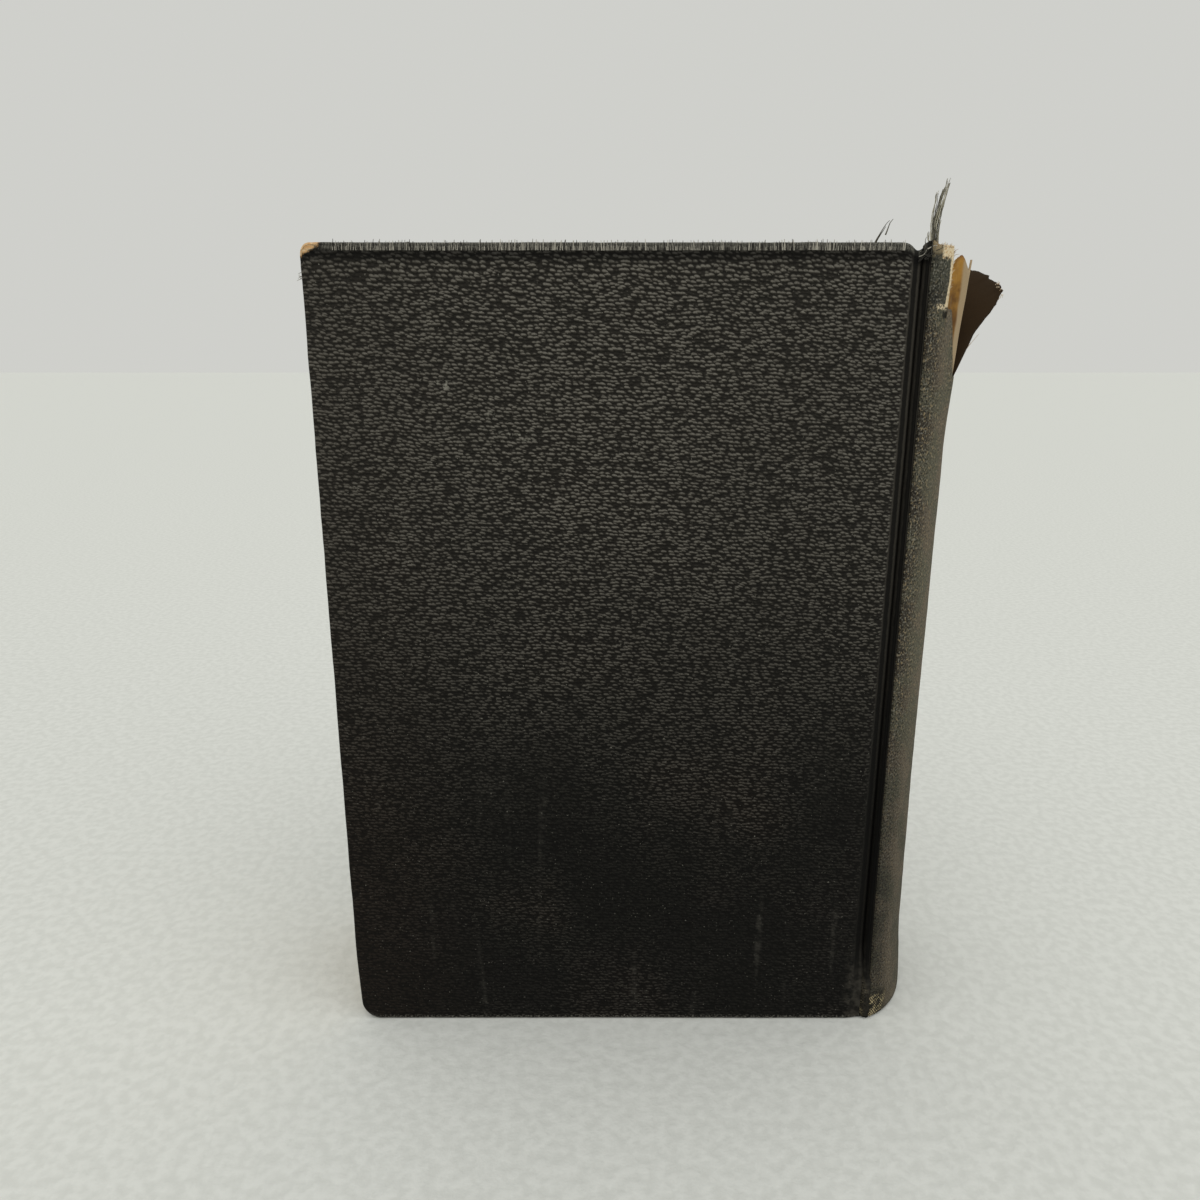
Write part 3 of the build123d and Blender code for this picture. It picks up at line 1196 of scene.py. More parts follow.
@dataclass
class SpineCloth:
    """Rounded spine's cloth, from crease to crease, torn open at the head, with the torn flap."""

    book: BookFrame
    section: CaseSection
    thickness: float = 0.42 * MM
    near_tear_y: float = -18.1 * MM
    near_drop: float = 12.3 * MM
    low_y: float = -7.6 * MM
    low_drop: float = 27.5 * MM
    far_y: float = 14.6 * MM
    far_drop: float = 1.0 * MM
    tail_flare: float = 1.1 * MM
    tail_kick: float = 1.25 * MM
    fine_from: float = 160 * MM
    turned_rows: int = 3

    def outline(self) -> list[Place]:
        """Section of the spine from the back cover's crease to the front's.

        Returns:
            Points (x, y) from -Y to +Y.
        """
        b = self.book
        half: list[Place] = []
        start_angle = math.acos((b.ridge_x + 0.45 * MM - b.spine_x) / b.spine_radius)
        count = 44
        for k in range(count + 1):
            angle = start_angle * k / count
            half.append(self.arc_point(angle))
        end_x, end_y = half[-1]
        shoulder = [
            (end_x - 0.45 * MM, end_y + 0.10 * MM),
            (end_x - 0.75 * MM, end_y - 0.10 * MM),
            (end_x - 0.95 * MM, end_y - 0.62 * MM),
            (end_x - 1.10 * MM, end_y - 1.25 * MM),
            (end_x - 1.32 * MM, b.crease_y + 0.20 * MM),
            (b.crease_x + 0.15 * MM, b.crease_y + 0.03 * MM),
            (b.crease_x, b.crease_y),
        ]
        half += shoulder
        return [(x, -y) for x, y in reversed(half)] + half[1:]

    def arc_point(self, angle: float) -> Place:
        """Point of the spine's round at an angle from its middle."""
        b = self.book
        return b.spine_x + b.spine_radius * math.cos(angle), b.spine_radius * math.sin(angle)

    def tear_drop(self, y: float) -> float:
        """How far below the head the cloth is torn away at a place across Y.

        Args:
            y: Place across Y.

        Returns:
            The drop, in metres.
        """
        if y <= self.near_tear_y or y >= self.far_y:
            return 0.0
        ragged = 0.45 * MM * rough(y, 3.0, 0.0, 1.1 * MM) + 0.25 * MM * rough(y, 5.0, 0.0, 0.45 * MM)
        if y < self.low_y:
            share = ease((y - self.near_tear_y - 2.1 * MM) / (4.5 * MM))
            return blend_between(self.near_drop, self.low_drop, share) + ragged
        share = (y - self.low_y) / (self.far_y - self.low_y)
        return blend_between(self.low_drop, self.far_drop, share) + ragged

    def shaped(self, x: float, y: float, z: float) -> Point:
        """Adds the tail's flare, the head's lean and small dents to a point of the section.

        Args:
            x: The section's X.
            y: The section's Y.
            z: Height.

        Returns:
            The shaped point.
        """
        b = self.book
        share = self.section.groove_share(z)
        level = abs(y)
        if x < b.ridge_x + 0.3 * MM:
            level = blend_between(b.cover_y - self.section.tail_step, level, share)
        side = math.copysign(1.0, y)
        on_round = ease((x - b.ridge_x) / (4 * MM))
        out_x, out_y = (x - b.spine_x) / b.spine_radius, y / b.spine_radius
        low_down = ease((75 * MM - z) / (75 * MM))
        flare = self.tail_flare * low_down * (0.45 + 0.9 * abs(out_y) ** 3)
        flare *= ease((x - b.ridge_x + 1 * MM) / (2 * MM))
        foot = ease((24 * MM - z) / (24 * MM))
        flare += self.tail_kick * foot * max(0.0, 1 - out_y * out_y) * on_round
        lean = self.section.lean(y, z)
        near_strip = ease((z - 184.7 * MM) / (6 * MM)) * ease((y + 22 * MM) / (4 * MM)) * (y < -17 * MM)
        dents = 0.10 * MM * rough(y, z * 0.6, 6.0, 9 * MM) + 0.05 * MM * rough(y, z, 9.0, 2.4 * MM)
        push = flare + dents * on_round + 0.5 * MM * near_strip + lean * 1.03
        return x + out_x * push, side * level + out_y * push, z

    def build(self, finish: bpy.types.Material, start_u: float) -> bpy.types.Object:
        """Builds the sheet from crease to crease.

        Args:
            finish: The cloth's material.
            start_u: Developed place of the back cover's crease.

        Returns:
            The finished piece.
        """
        b = self.book
        section = self.outline()
        tear_columns = self.with_tear_edges(section)
        heights = steps(0.0, 30 * MM, 1.2 * MM) + steps(30 * MM, self.fine_from, 2.4 * MM)
        fixed = len(heights)
        heights += steps(self.fine_from, b.head_z, 0.55 * MM) + [b.head_z]
        draft = MeshDraft()
        columns: list[list[int]] = []
        hooked: list[bool] = []
        u = start_u
        before = tear_columns[0][:2]
        for x, y, torn in tear_columns:
            u += math.hypot(x - before[0], y - before[1])
            before = (x, y)
            drop = self.tear_drop(y) if torn else self.head_edge_drop(x)
            top = b.head_z - drop + (-0.35 * MM if torn else 0.35 * MM)
            column = self.hook(draft, x, y, u, 0.0, -1)
            for index, z in enumerate(heights):
                height = z
                if index >= fixed:
                    share = (z - self.fine_from) / (b.head_z - self.fine_from)
                    height = blend_between(self.fine_from, top, share)
                column.append(draft.point(self.shaped(x, y, max(height, 0.75 * MM)), (u, height)))
            column += self.hook(draft, x, y, u, top, 1)
            hooked.append(not torn)
            columns.append(column)

        def keep(i: int, j: int) -> bool:
            """Leaves the turned edge off the torn part."""
            at_top = j >= len(columns[0]) - self.turned_rows - 2
            return not at_top or (hooked[i] and hooked[i + 1])

        draft.patch(columns, keep, flip=True)
        piece = draft.make("spine_cloth_sheet", finish)
        give_thickness(piece, self.thickness)
        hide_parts("spine_cloth")
        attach(piece, "text_body")
        near_width, far_width, turned = 14 * MM, 21 * MM, 8 * MM
        torn = 0.5 * (self.low_drop + self.near_drop) * near_width + 0.5 * self.low_drop * far_width
        wide, tall = u - start_u, b.head_z + turned
        area = wide * tall - torn
        return piece

    def head_edge_drop(self, x: float) -> float:
        """Sag of the head edge where the spine's cloth is whole."""
        return self.section.head_drop(x) * ease((self.book.ridge_x + 2 * MM - x) / (2 * MM))

    def developed(self, start_u: float, y: float) -> float:
        """Developed place of the column at a place across Y, past the back cover's crease.

        Args:
            start_u: Developed place of the back cover's crease.
            y: Place across Y.

        Returns:
            The developed place.
        """
        u, before = start_u, None
        for column in self.with_tear_edges(self.outline()):
            if before is not None:
                u += math.hypot(column[0] - before[0], column[1] - before[1])
            before = column
            if column[1] >= y:
                break
        return u

    def with_tear_edges(self, section: list[Place]) -> list[tuple[float, float, bool]]:
        """Adds close columns at the sides of the tear.

        Args:
            section: The spine's section.

        Returns:
            Columns (x, y, whether the head is torn there).
        """
        b = self.book
        columns = [(x, y, self.near_tear_y < y < self.far_y) for x, y in section]
        for y, torn in (
            (self.near_tear_y, False),
            (self.near_tear_y + 0.02 * MM, True),
            (self.far_y - 0.02 * MM, True),
            (self.far_y, False),
        ):
            x = b.spine_x + math.sqrt(b.spine_radius**2 - y * y)
            columns.append((x, y, torn))
        return sorted(columns, key=self.along_section)

    def along_section(self, column: tuple[float, float, bool]) -> float:
        """Order of a column along the section.

        Args:
            column: The column.

        Returns:
            A number that grows along the section.
        """
        x, y, _ = column
        ridge = self.book.ridge_x + 0.45 * MM
        if x >= ridge:
            return y
        return math.copysign(1.0, y) * (abs(y) + 0.1 + (ridge - x))

    def hook(
        self, draft: MeshDraft, x: float, y: float, u: float, z: float, direction: int
    ) -> list[int]:
        """Rows that turn the cloth in over the head or tail.

        Args:
            draft: The mesh being made.
            x: Place of the column.
            y: Place of the column.
            u: Its developed place.
            z: Height of the edge.
            direction: 1 at the head, -1 at the tail.

        Returns:
            Point numbers, from low to high at the head and from the inside out at the tail.
        """
        b = self.book
        out_x, out_y = x - b.spine_x, y
        size = math.hypot(out_x, out_y)
        out_x, out_y = out_x / size, out_y / size
        if x < b.ridge_x:
            out_x, out_y = 0.0, math.copysign(1.0, y)
        radius = 0.3 * MM
        edge_z = max(z, 0.75 * MM) if direction < 0 else z
        px, py, _ = self.shaped(x, y, edge_z)
        made = []
        for k in range(1, self.turned_rows + 2):
            angle = math.pi * min(k, self.turned_rows) / self.turned_rows
            depth = radius * (1 - math.cos(angle))
            turned = 3 * MM if k > self.turned_rows else 0.0
            height = edge_z + direction * (radius * math.sin(angle) - turned)
            where = (px - out_x * depth, py - out_y * depth, height)
            made.append(draft.point(where, (u, z + direction * depth), 0.4))
        return made if direction > 0 else made[::-1]

    def build_flap(self, finish: bpy.types.Material) -> bpy.types.Object:
        """Builds the torn flap that stands out behind the spine.

        Args:
            finish: The material of the flap's inner side, whose dark brown includes painted shade.

        Returns:
            The finished piece.
        """
        b = self.book
        apex_x = b.spine_x + b.spine_radius
        head = b.head_z
        low = self.on_spine(self.low_y, self.low_drop)
        high = self.on_spine(self.far_y, self.far_drop)
        rim = [
            low,
            Vector((apex_x + 6.6 * MM, 0.0 * MM, head - 17.6 * MM)),
            Vector((apex_x + 12.2 * MM, 3.5 * MM, head - 11.6 * MM)),
            Vector((apex_x + 16.0 * MM, 7.5 * MM, head - 7.0 * MM)),
            Vector((apex_x + 15.6 * MM, 9.4 * MM, head - 4.9 * MM)),
            Vector((apex_x + 12.9 * MM, 11.5 * MM, head - 2.1 * MM)),
            Vector((apex_x + 8.3 * MM, 13.2 * MM, head - 0.9 * MM)),
            high,
        ]
        columns, rows = 72, 22
        draft = MeshDraft()
        grid = []
        for i in range(columns + 1):
            t = i / columns
            root = low.lerp(high, t)
            place = t * (len(rim) - 1)
            k = min(int(place), len(rim) - 2)
            edge = rim[k].lerp(rim[k + 1], place - k)
            middle = math.sin(math.pi * t)
            direction = (edge - root).normalized() if (edge - root).length > 1e-5 else Vector((1, 0, 0))
            jagged = 0.7 * rough(t, 1.0, 0.0, 0.05) + 0.6 * rough(t, 3.0, 0.0, 0.018) - 0.25
            edge = edge + direction * jagged * MM * middle
            row = []
            for j in range(rows + 1):
                r = j / rows
                where = root.lerp(edge, r)
                bow = 1.5 * MM * math.sin(math.pi * r) * middle
                ripple = 0.35 * MM * rough(where.x, where.y, where.z, 7 * MM) * r
                curl = 1.3 * MM * r**4 * ease((t - 0.45) / 0.3)
                where = where + Vector((0.25, -1.0, 0.1)).normalized() * (bow + ripple - curl)
                row.append(draft.point(tuple(where), (t * 24 * MM, r * 16 * MM)))
            grid.append(row)
        draft.patch(grid, flip=False)
        piece = draft.make("spine_torn_flap", finish)
        give_thickness(piece, 0.4 * MM)
        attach(piece, "text_body")
        return piece

    def on_spine(self, y: float, drop: float) -> Vector:
        """Point of the spine's outer face at a place across Y and a drop below the head.

        Args:
            y: Place across Y.
            drop: Drop below the head.

        Returns:
            The point.
        """
        b = self.book
        x = b.spine_x + math.sqrt(b.spine_radius**2 - y * y)
        return Vector(self.shaped(x, y, b.head_z - drop))


@dataclass
class SpineInlay:
    """Stiff paper behind the spine's cloth, ragged and leaning out at the head."""

    book: BookFrame
    section: CaseSection
    thickness: float = 0.45 * MM
    half_span: float = 20.0 * MM

    def build(self, finish: bpy.types.Material) -> bpy.types.Object:
        """Builds the inlay.

        Args:
            finish: The stained paper's material.

        Returns:
            The finished piece.
        """
        b = self.book
        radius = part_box("spine_inlay")[1].x - b.spine_x
        half_angle = math.asin(self.half_span / radius)
        columns = 120
        fine_from, highest = 150 * MM, 195 * MM
        heights = steps(0.5 * MM, fine_from, 6 * MM) + steps(fine_from, highest, 1.5 * MM) + [highest]
        draft = MeshDraft()
        grid = []
        for i in range(columns + 1):
            angle = blend_between(-half_angle, half_angle, i / columns)
            y = radius * math.sin(angle)
            top = b.head_z + self.tatter(y)
            column = []
            for z in heights:
                share = max(0.0, (z - fine_from) / (highest - fine_from))
                height = z if z < fine_from else blend_between(fine_from, top, share)
                push = self.section.lean(y, height)
                push += 0.12 * MM * rough(y, height, 1.0, 6 * MM) * ease((height - fine_from) / (20 * MM))
                reach = radius + push
                where = (b.spine_x + reach * math.cos(angle), reach * math.sin(angle), height)
                column.append(draft.point(where, (radius * angle, height)))
            grid.append(column)
        draft.patch(grid, flip=True)
        piece = draft.make("spine_inlay_paper", finish)
        give_thickness(piece, self.thickness)
        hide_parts("spine_inlay")
        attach(piece, "text_body")
        return piece

    def tatter(self, y: float) -> float:
        """Height of the ragged top against the head, at a place across Y.

        Args:
            y: Place across Y.

        Returns:
            The height, mostly below zero.
        """
        peaks = ((-13.6, -0.9, 1.5), (-8.3, -1.1, 1.0), (2.0, -1.2, 4.0), (15.0, -0.8, 4.0))
        level = -4.2 * MM
        for place, height, width in peaks:
            away = (y / MM - place) / width
            level = max(level, blend_between(-4.4 * MM, height * MM, math.exp(-away * away)))
        level += 0.5 * MM * rough(y, 7.0, 0.0, 0.8 * MM) + 0.25 * MM * rough(y, 2.0, 0.0, 0.3 * MM)
        if abs(y) > 17 * MM:
            level = min(level, -0.8 * MM)
        return level


@dataclass
class GauzeBacking:
    """Gauze pasted over the backs of the sections."""

    book: BookFrame
    thickness: float = 0.25 * MM

    def build(self, finish: bpy.types.Material) -> bpy.types.Object:
        """Builds the gauze.

        Args:
            finish: The gauze's material.

        Returns:
            The finished piece.
        """
        b = self.book
        low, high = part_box("spine_mull")
        radius = high.x - b.spine_x - 0.03 * MM
        half_angle = math.asin(high.y / radius)
        draft = MeshDraft()
        grid = []
        columns = 48
        for i in range(columns + 1):
            angle = blend_between(-half_angle, half_angle, i / columns)
            column = []
            for z in steps(low.z, high.z, 2.4 * MM) + [high.z]:
                ragged = 0.5 * MM * rough(angle, 1.0, z, 0.02) * (z in (low.z, high.z))
                where = (b.spine_x + radius * math.cos(angle), radius * math.sin(angle), z - abs(ragged))
                column.append(draft.point(where, (radius * angle, z)))
            grid.append(column)
        draft.patch(grid, flip=True)
        piece = draft.make("section_back_gauze", finish)
        give_thickness(piece, self.thickness)
        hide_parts("spine_mull")
        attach(piece, "text_body")
        return piece


@dataclass
class EndpaperFold:
    """Fold of one endpaper, between the part pasted to the board and the free leaf."""

    book: BookFrame
    side: Side
    thickness: float = 0.12 * MM
    turn_in: float = 15 * MM

    def build(self, finish: bpy.types.Material) -> bpy.types.Object:
        """Builds the fold and blends it across the joint.

        Args:
            finish: The endpaper's material.

        Returns:
            The finished piece.
        """
        sign = self.side.value
        paste_low, paste_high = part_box(f"{self.side.word}_pastedown")
        leaf_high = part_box(f"{self.side.word}_endpaper")[1]
        level = min(abs(paste_low.y), abs(paste_high.y)) - 0.02 * MM
        dish = max(abs(paste_low.y), abs(paste_high.y)) - 0.17 * MM
        start, end = paste_high.x - 0.3 * MM, leaf_high.x - 0.05 * MM
        low, high = self.turn_in + 0.1 * MM, self.book.head_z - self.turn_in - 0.1 * MM
        heights = [paste_low.z, 8 * MM, low, low + 0.2 * MM] + steps(low + 4 * MM, high - 4 * MM, 6 * MM)
        heights += [high - 4 * MM, high - 0.2 * MM, high, high + 6 * MM, paste_high.z]
        draft = MeshDraft()
        grid = []
        for i in range(13):
            share = i / 12
            x = blend_between(start, end, share)
            column = []
            for z in heights:
                pasted = dish if low < z < high else level
                column.append(draft.point((x, sign * blend_between(pasted, level, ease(share)), z), (x, z)))
            grid.append(column)
        draft.patch(grid, flip=self.side is Side.FRONT)
        piece = draft.make(f"{self.side.word}_endpaper_fold", finish)
        give_thickness(piece, self.thickness)
        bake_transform(piece)
        return piece


@dataclass
class TextBlock:
    """Sewn pages, with every leaf's edge at the head, tail and fore-edge."""

    book: BookFrame
    leaves: int = 170
    hollow: float = 11.5 * MM
    nick: float = 0.11 * MM
    seed: int = 11

    def build(self, finish: bpy.types.Material) -> bpy.types.Object:
        """Builds the pages as one closed mesh.

        Args:
            finish: The paper's material.

        Returns:
            The finished piece.
        """
        low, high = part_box("text_block")
        pages_y = -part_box("back_endpaper")[1].y
        draw = random.Random(self.seed)
        draft = MeshDraft()
        rings = []
        jog = [draw.uniform(-0.06, 0.06) * MM for _ in range(self.leaves)]
        fore_jog = [draw.uniform(-0.09, 0.09) * MM for _ in range(self.leaves)]
        count = 2 * self.leaves
        shoulder = high.y
        shoulder_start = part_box("back_endpaper")[1].x
        back_x = self.book.spine_x
        back_radius = high.x - back_x
        for k in range(count + 1):
            leaf = min(k // 2, self.leaves - 1)
            valley = k % 2 == 0
            share = -1 + 2 * k / count
            y = pages_y * share
            sunk = self.nick if valley and 0 < k < count else 0.0
            bottom, top = low.z + sunk - jog[leaf] * 0.3, high.z - sunk + jog[leaf] - 0.06 * MM
            far_y = shoulder * share
            fore = low.x + self.hollow * (1 - share * share) + sunk + fore_jog[leaf]
            fore += 0.0 if 0 < k < count else 0.05 * MM
            back = back_x + math.sqrt(back_radius**2 - far_y * far_y)
            across = [blend_between(fore, shoulder_start, n / 9) for n in range(10)]
            across += [blend_between(shoulder_start, back, n / 4) for n in range(1, 5)]
            up = [blend_between(bottom, top, n / 14) for n in range(15)]
            ring = [(fore, z) for z in up[:-1]]
            ring += [(x, top) for x in across[:-1]]
            ring += [(back, z) for z in reversed(up[1:])]
            ring += [(x, bottom) for x in reversed(across[1:])]
            numbers = []
            for x, z in ring:
                flare = ease((x - shoulder_start) / (1.1 * MM))
                numbers.append(draft.point((x, blend_between(y, far_y, flare), z), (x, z)))
            rings.append(numbers)
        draft.patch(rings, closed=True)
        self.close_end(draft, rings[0], len(across), len(up), flip=True)
        self.close_end(draft, rings[-1], len(across), len(up), flip=False)
        piece = draft.make("page_block", finish)
        piece.data.polygons.foreach_set("use_smooth", [False] * len(piece.data.polygons))
        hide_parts("text_block")
        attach(piece, "text_body")
        return piece

    def close_end(self, draft: MeshDraft, ring: list[int], wide: int, tall: int, flip: bool) -> None:
        """Fills an outermost leaf from its outline.

        Args:
            draft: The mesh being made.
            ring: Point numbers of the outline.
            wide: Points across the leaf.
            tall: Points up the leaf.
            flip: Whether faces are turned round.
        """
        keys = [(0, j) for j in range(tall - 1)] + [(i, tall - 1) for i in range(wide - 1)]
        keys += [(wide - 1, j) for j in range(tall - 1, 0, -1)] + [(i, 0) for i in range(wide - 1, 0, -1)]
        numbers = dict(zip(keys, ring))
        for i in range(1, wide - 1):
            x, y, _ = draft.points[numbers[i, 0]]
            for j in range(1, tall - 1):
                z = draft.points[numbers[0, j]][2]
                numbers[i, j] = draft.point((x, y, z), (x, z))
        rows = [[numbers[i, j] for j in range(tall)] for i in range(wide)]
        draft.patch(rows, flip=flip)


@dataclass
class VisualBoard:
    """One cover's board, bruised at the corners in the same way as its cloth."""

    book: BookFrame
    cloth: CoverCloth

    def build(self, finish: bpy.types.Material) -> bpy.types.Object:
        """Builds the board under the cloth.

        Args:
            finish: The board's material.

        Returns:
            The finished piece.
        """
        side = self.cloth.side
        sign = side.value
        low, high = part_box(f"{side.word}_board")
        outer_y = max(abs(low.y), abs(high.y)) - 0.22 * MM
        inner_y = min(abs(low.y), abs(high.y))
        spine_edge = self.book.joint_x - 0.55 * MM
        gap = 0.62 * MM
        draft = MeshDraft()
        xs = [x for x in self.cloth.across() if x < spine_edge - 1 * MM] + [spine_edge]
        zs = self.cloth.up()
        grids = []
        for level in (outer_y, inner_y):
            grid = []
            for x in xs:
                column = []
                for z in zs:
                    fx, fz = self.cloth.rounded(x, z)
                    middle = self.book.head_z / 2
                    fz = middle + (fz - middle) * (middle - gap + 0.45 * MM) / middle
                    fx += 0.05 * MM
                    pulp = 0.06 * MM * rough(fx, level, fz, 1.2 * MM)
                    column.append(draft.point((fx, sign * (level + pulp), fz), (fx, fz)))
                grid.append(column)
            grids.append(grid)
        draft.patch(grids[0], flip=side is Side.BACK)
        draft.patch(grids[1], flip=side is Side.FRONT)
        last, top = len(xs) - 1, len(zs) - 1
        loop = [(i, 0) for i in range(last)] + [(last, j) for j in range(top)]
        loop += [(i, top) for i in range(last, 0, -1)] + [(0, j) for j in range(top, 0, -1)]
        rows = []
        for share in (0.0, 0.12, 0.5, 0.88, 1.0):
            if share in (0.0, 1.0):
                source = grids[int(share)]
                rows.append([source[i][j] for i, j in loop])
                continue
            row = []
            for i, j in loop:
                x, _, z = draft.points[grids[0][i][j]]
                grow_x = -0.2 * MM if i == 0 else 0.0
                grow_z = {0: -0.2 * MM, top: 0.2 * MM}.get(j, 0.0)
                y = sign * blend_between(outer_y, inner_y, share)
                row.append(draft.point((x + grow_x, y, z + grow_z), (x, z)))
            rows.append(row)
        draft.patch(rows, closed=True, flip=side is Side.BACK)
        piece = draft.make(f"{side.word}_bare_board", finish)
        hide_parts(f"{side.word}_board")
        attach(piece, f"{side.word}_cover")
        return piece


# ---- Geometry Nodes ----


class ThreadTree:
    """Base of a Geometry Nodes tree whose inputs are set by name."""

    def __init__(self, name: str, inputs: dict[str, object]) -> None:
        """Makes the tree with a geometry input, a geometry output and the given inputs.

        Args:
            name: The tree's name.
            inputs: Values by input name.
        """
        self.tree = bpy.data.node_groups.new(name, "GeometryNodeTree")
        face = self.tree.interface
        face.new_socket("Geometry", in_out="INPUT", socket_type="NodeSocketGeometry")
        kinds = {float: "NodeSocketFloat", int: "NodeSocketInt", bpy.types.Material: "NodeSocketMaterial"}
        self.values = inputs
        self.identifiers = {}
        for label, value in inputs.items():
            socket = face.new_socket(label, in_out="INPUT", socket_type=kinds[type(value)])
            self.identifiers[label] = socket.identifier
        face.new_socket("Geometry", in_out="OUTPUT", socket_type="NodeSocketGeometry")
        self.source = self.tree.nodes.new("NodeGroupInput")
        self.sink = self.tree.nodes.new("NodeGroupOutput")

    def add(
        self, kind: str, settings: Settings | None = None, inputs: Inputs | None = None
    ) -> bpy.types.Node:
        """Adds a node, with its settings first and then its inputs.

        Args:
            kind: The node's type.
            settings: The node's own settings.
            inputs: Values or sockets by name or number.

        Returns:
            The node.
        """
        node = self.tree.nodes.new(kind)
        for key, value in (settings or {}).items():
            setattr(node, key, value)
        for key, value in (inputs or {}).items():
            if isinstance(value, bpy.types.NodeSocket):
                self.tree.links.new(value, node.inputs[key])
            else:
                node.inputs[key].default_value = value
        return node

    def given(self, label: str) -> bpy.types.NodeSocket:
        """The tree's own input by name."""
        return self.source.outputs[label]

    def end(self, geometry: bpy.types.NodeSocket) -> None:
        """Realises instances, sets the material and closes the tree.

        Args:
            geometry: The geometry to finish.
        """
        real = self.add("GeometryNodeRealizeInstances", None, {"Geometry": geometry})
        smooth = self.add("GeometryNodeSetShadeSmooth", None, {"Geometry": real.outputs[0]})
        inputs = {"Geometry": smooth.outputs[0], "Material": self.given("Material")}
        dressed = self.add("GeometryNodeSetMaterial", None, inputs)
        self.tree.links.new(dressed.outputs[0], self.sink.inputs[0])

    def tube(self, curve: bpy.types.NodeSocket, sides: int, tip: float) -> bpy.types.NodeSocket:
        """Adds a tube of the tree's own radius along a curve.

        Args:
            curve: The curve.
            sides: Sides of the tube.
            tip: Its width at the tip, as a share of that at the root.

        Returns:
            The tube's mesh.
        """
        round_inputs = {"Resolution": sides, "Radius": self.given("Radius")}
        profile = self.add("GeometryNodeCurvePrimitiveCircle", None, round_inputs)
        along = self.add("GeometryNodeSplineParameter")
        taper_inputs = {"Value": along.outputs["Factor"], "To Min": 1.0, "To Max": tip}
        taper = self.add("ShaderNodeMapRange", None, taper_inputs)
        tube_inputs = {
            "Curve": curve,
            "Profile Curve": profile.outputs[0],
            "Scale": taper.outputs[0],
            "Fill Caps": True,
        }
        return self.add("GeometryNodeCurveToMesh", None, tube_inputs).outputs[0]

    def grow(self, name: str, body: str, mesh: bpy.types.Mesh) -> bpy.types.Object:
        """Runs the tree on a mesh of paths and turns the result into a plain piece.

        Args:
            name: The piece's name.
            body: The body it rides on.
            mesh: The paths.

        Returns:
            The finished piece.
        """
        piece = link_object(name, mesh)
        modifier = piece.modifiers.new(self.tree.name, "NODES")
        modifier.node_group = self.tree
        for label, value in self.values.items():
            modifier[self.identifiers[label]] = value
        settle_modifiers(piece)
        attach(piece, body)
        return piece


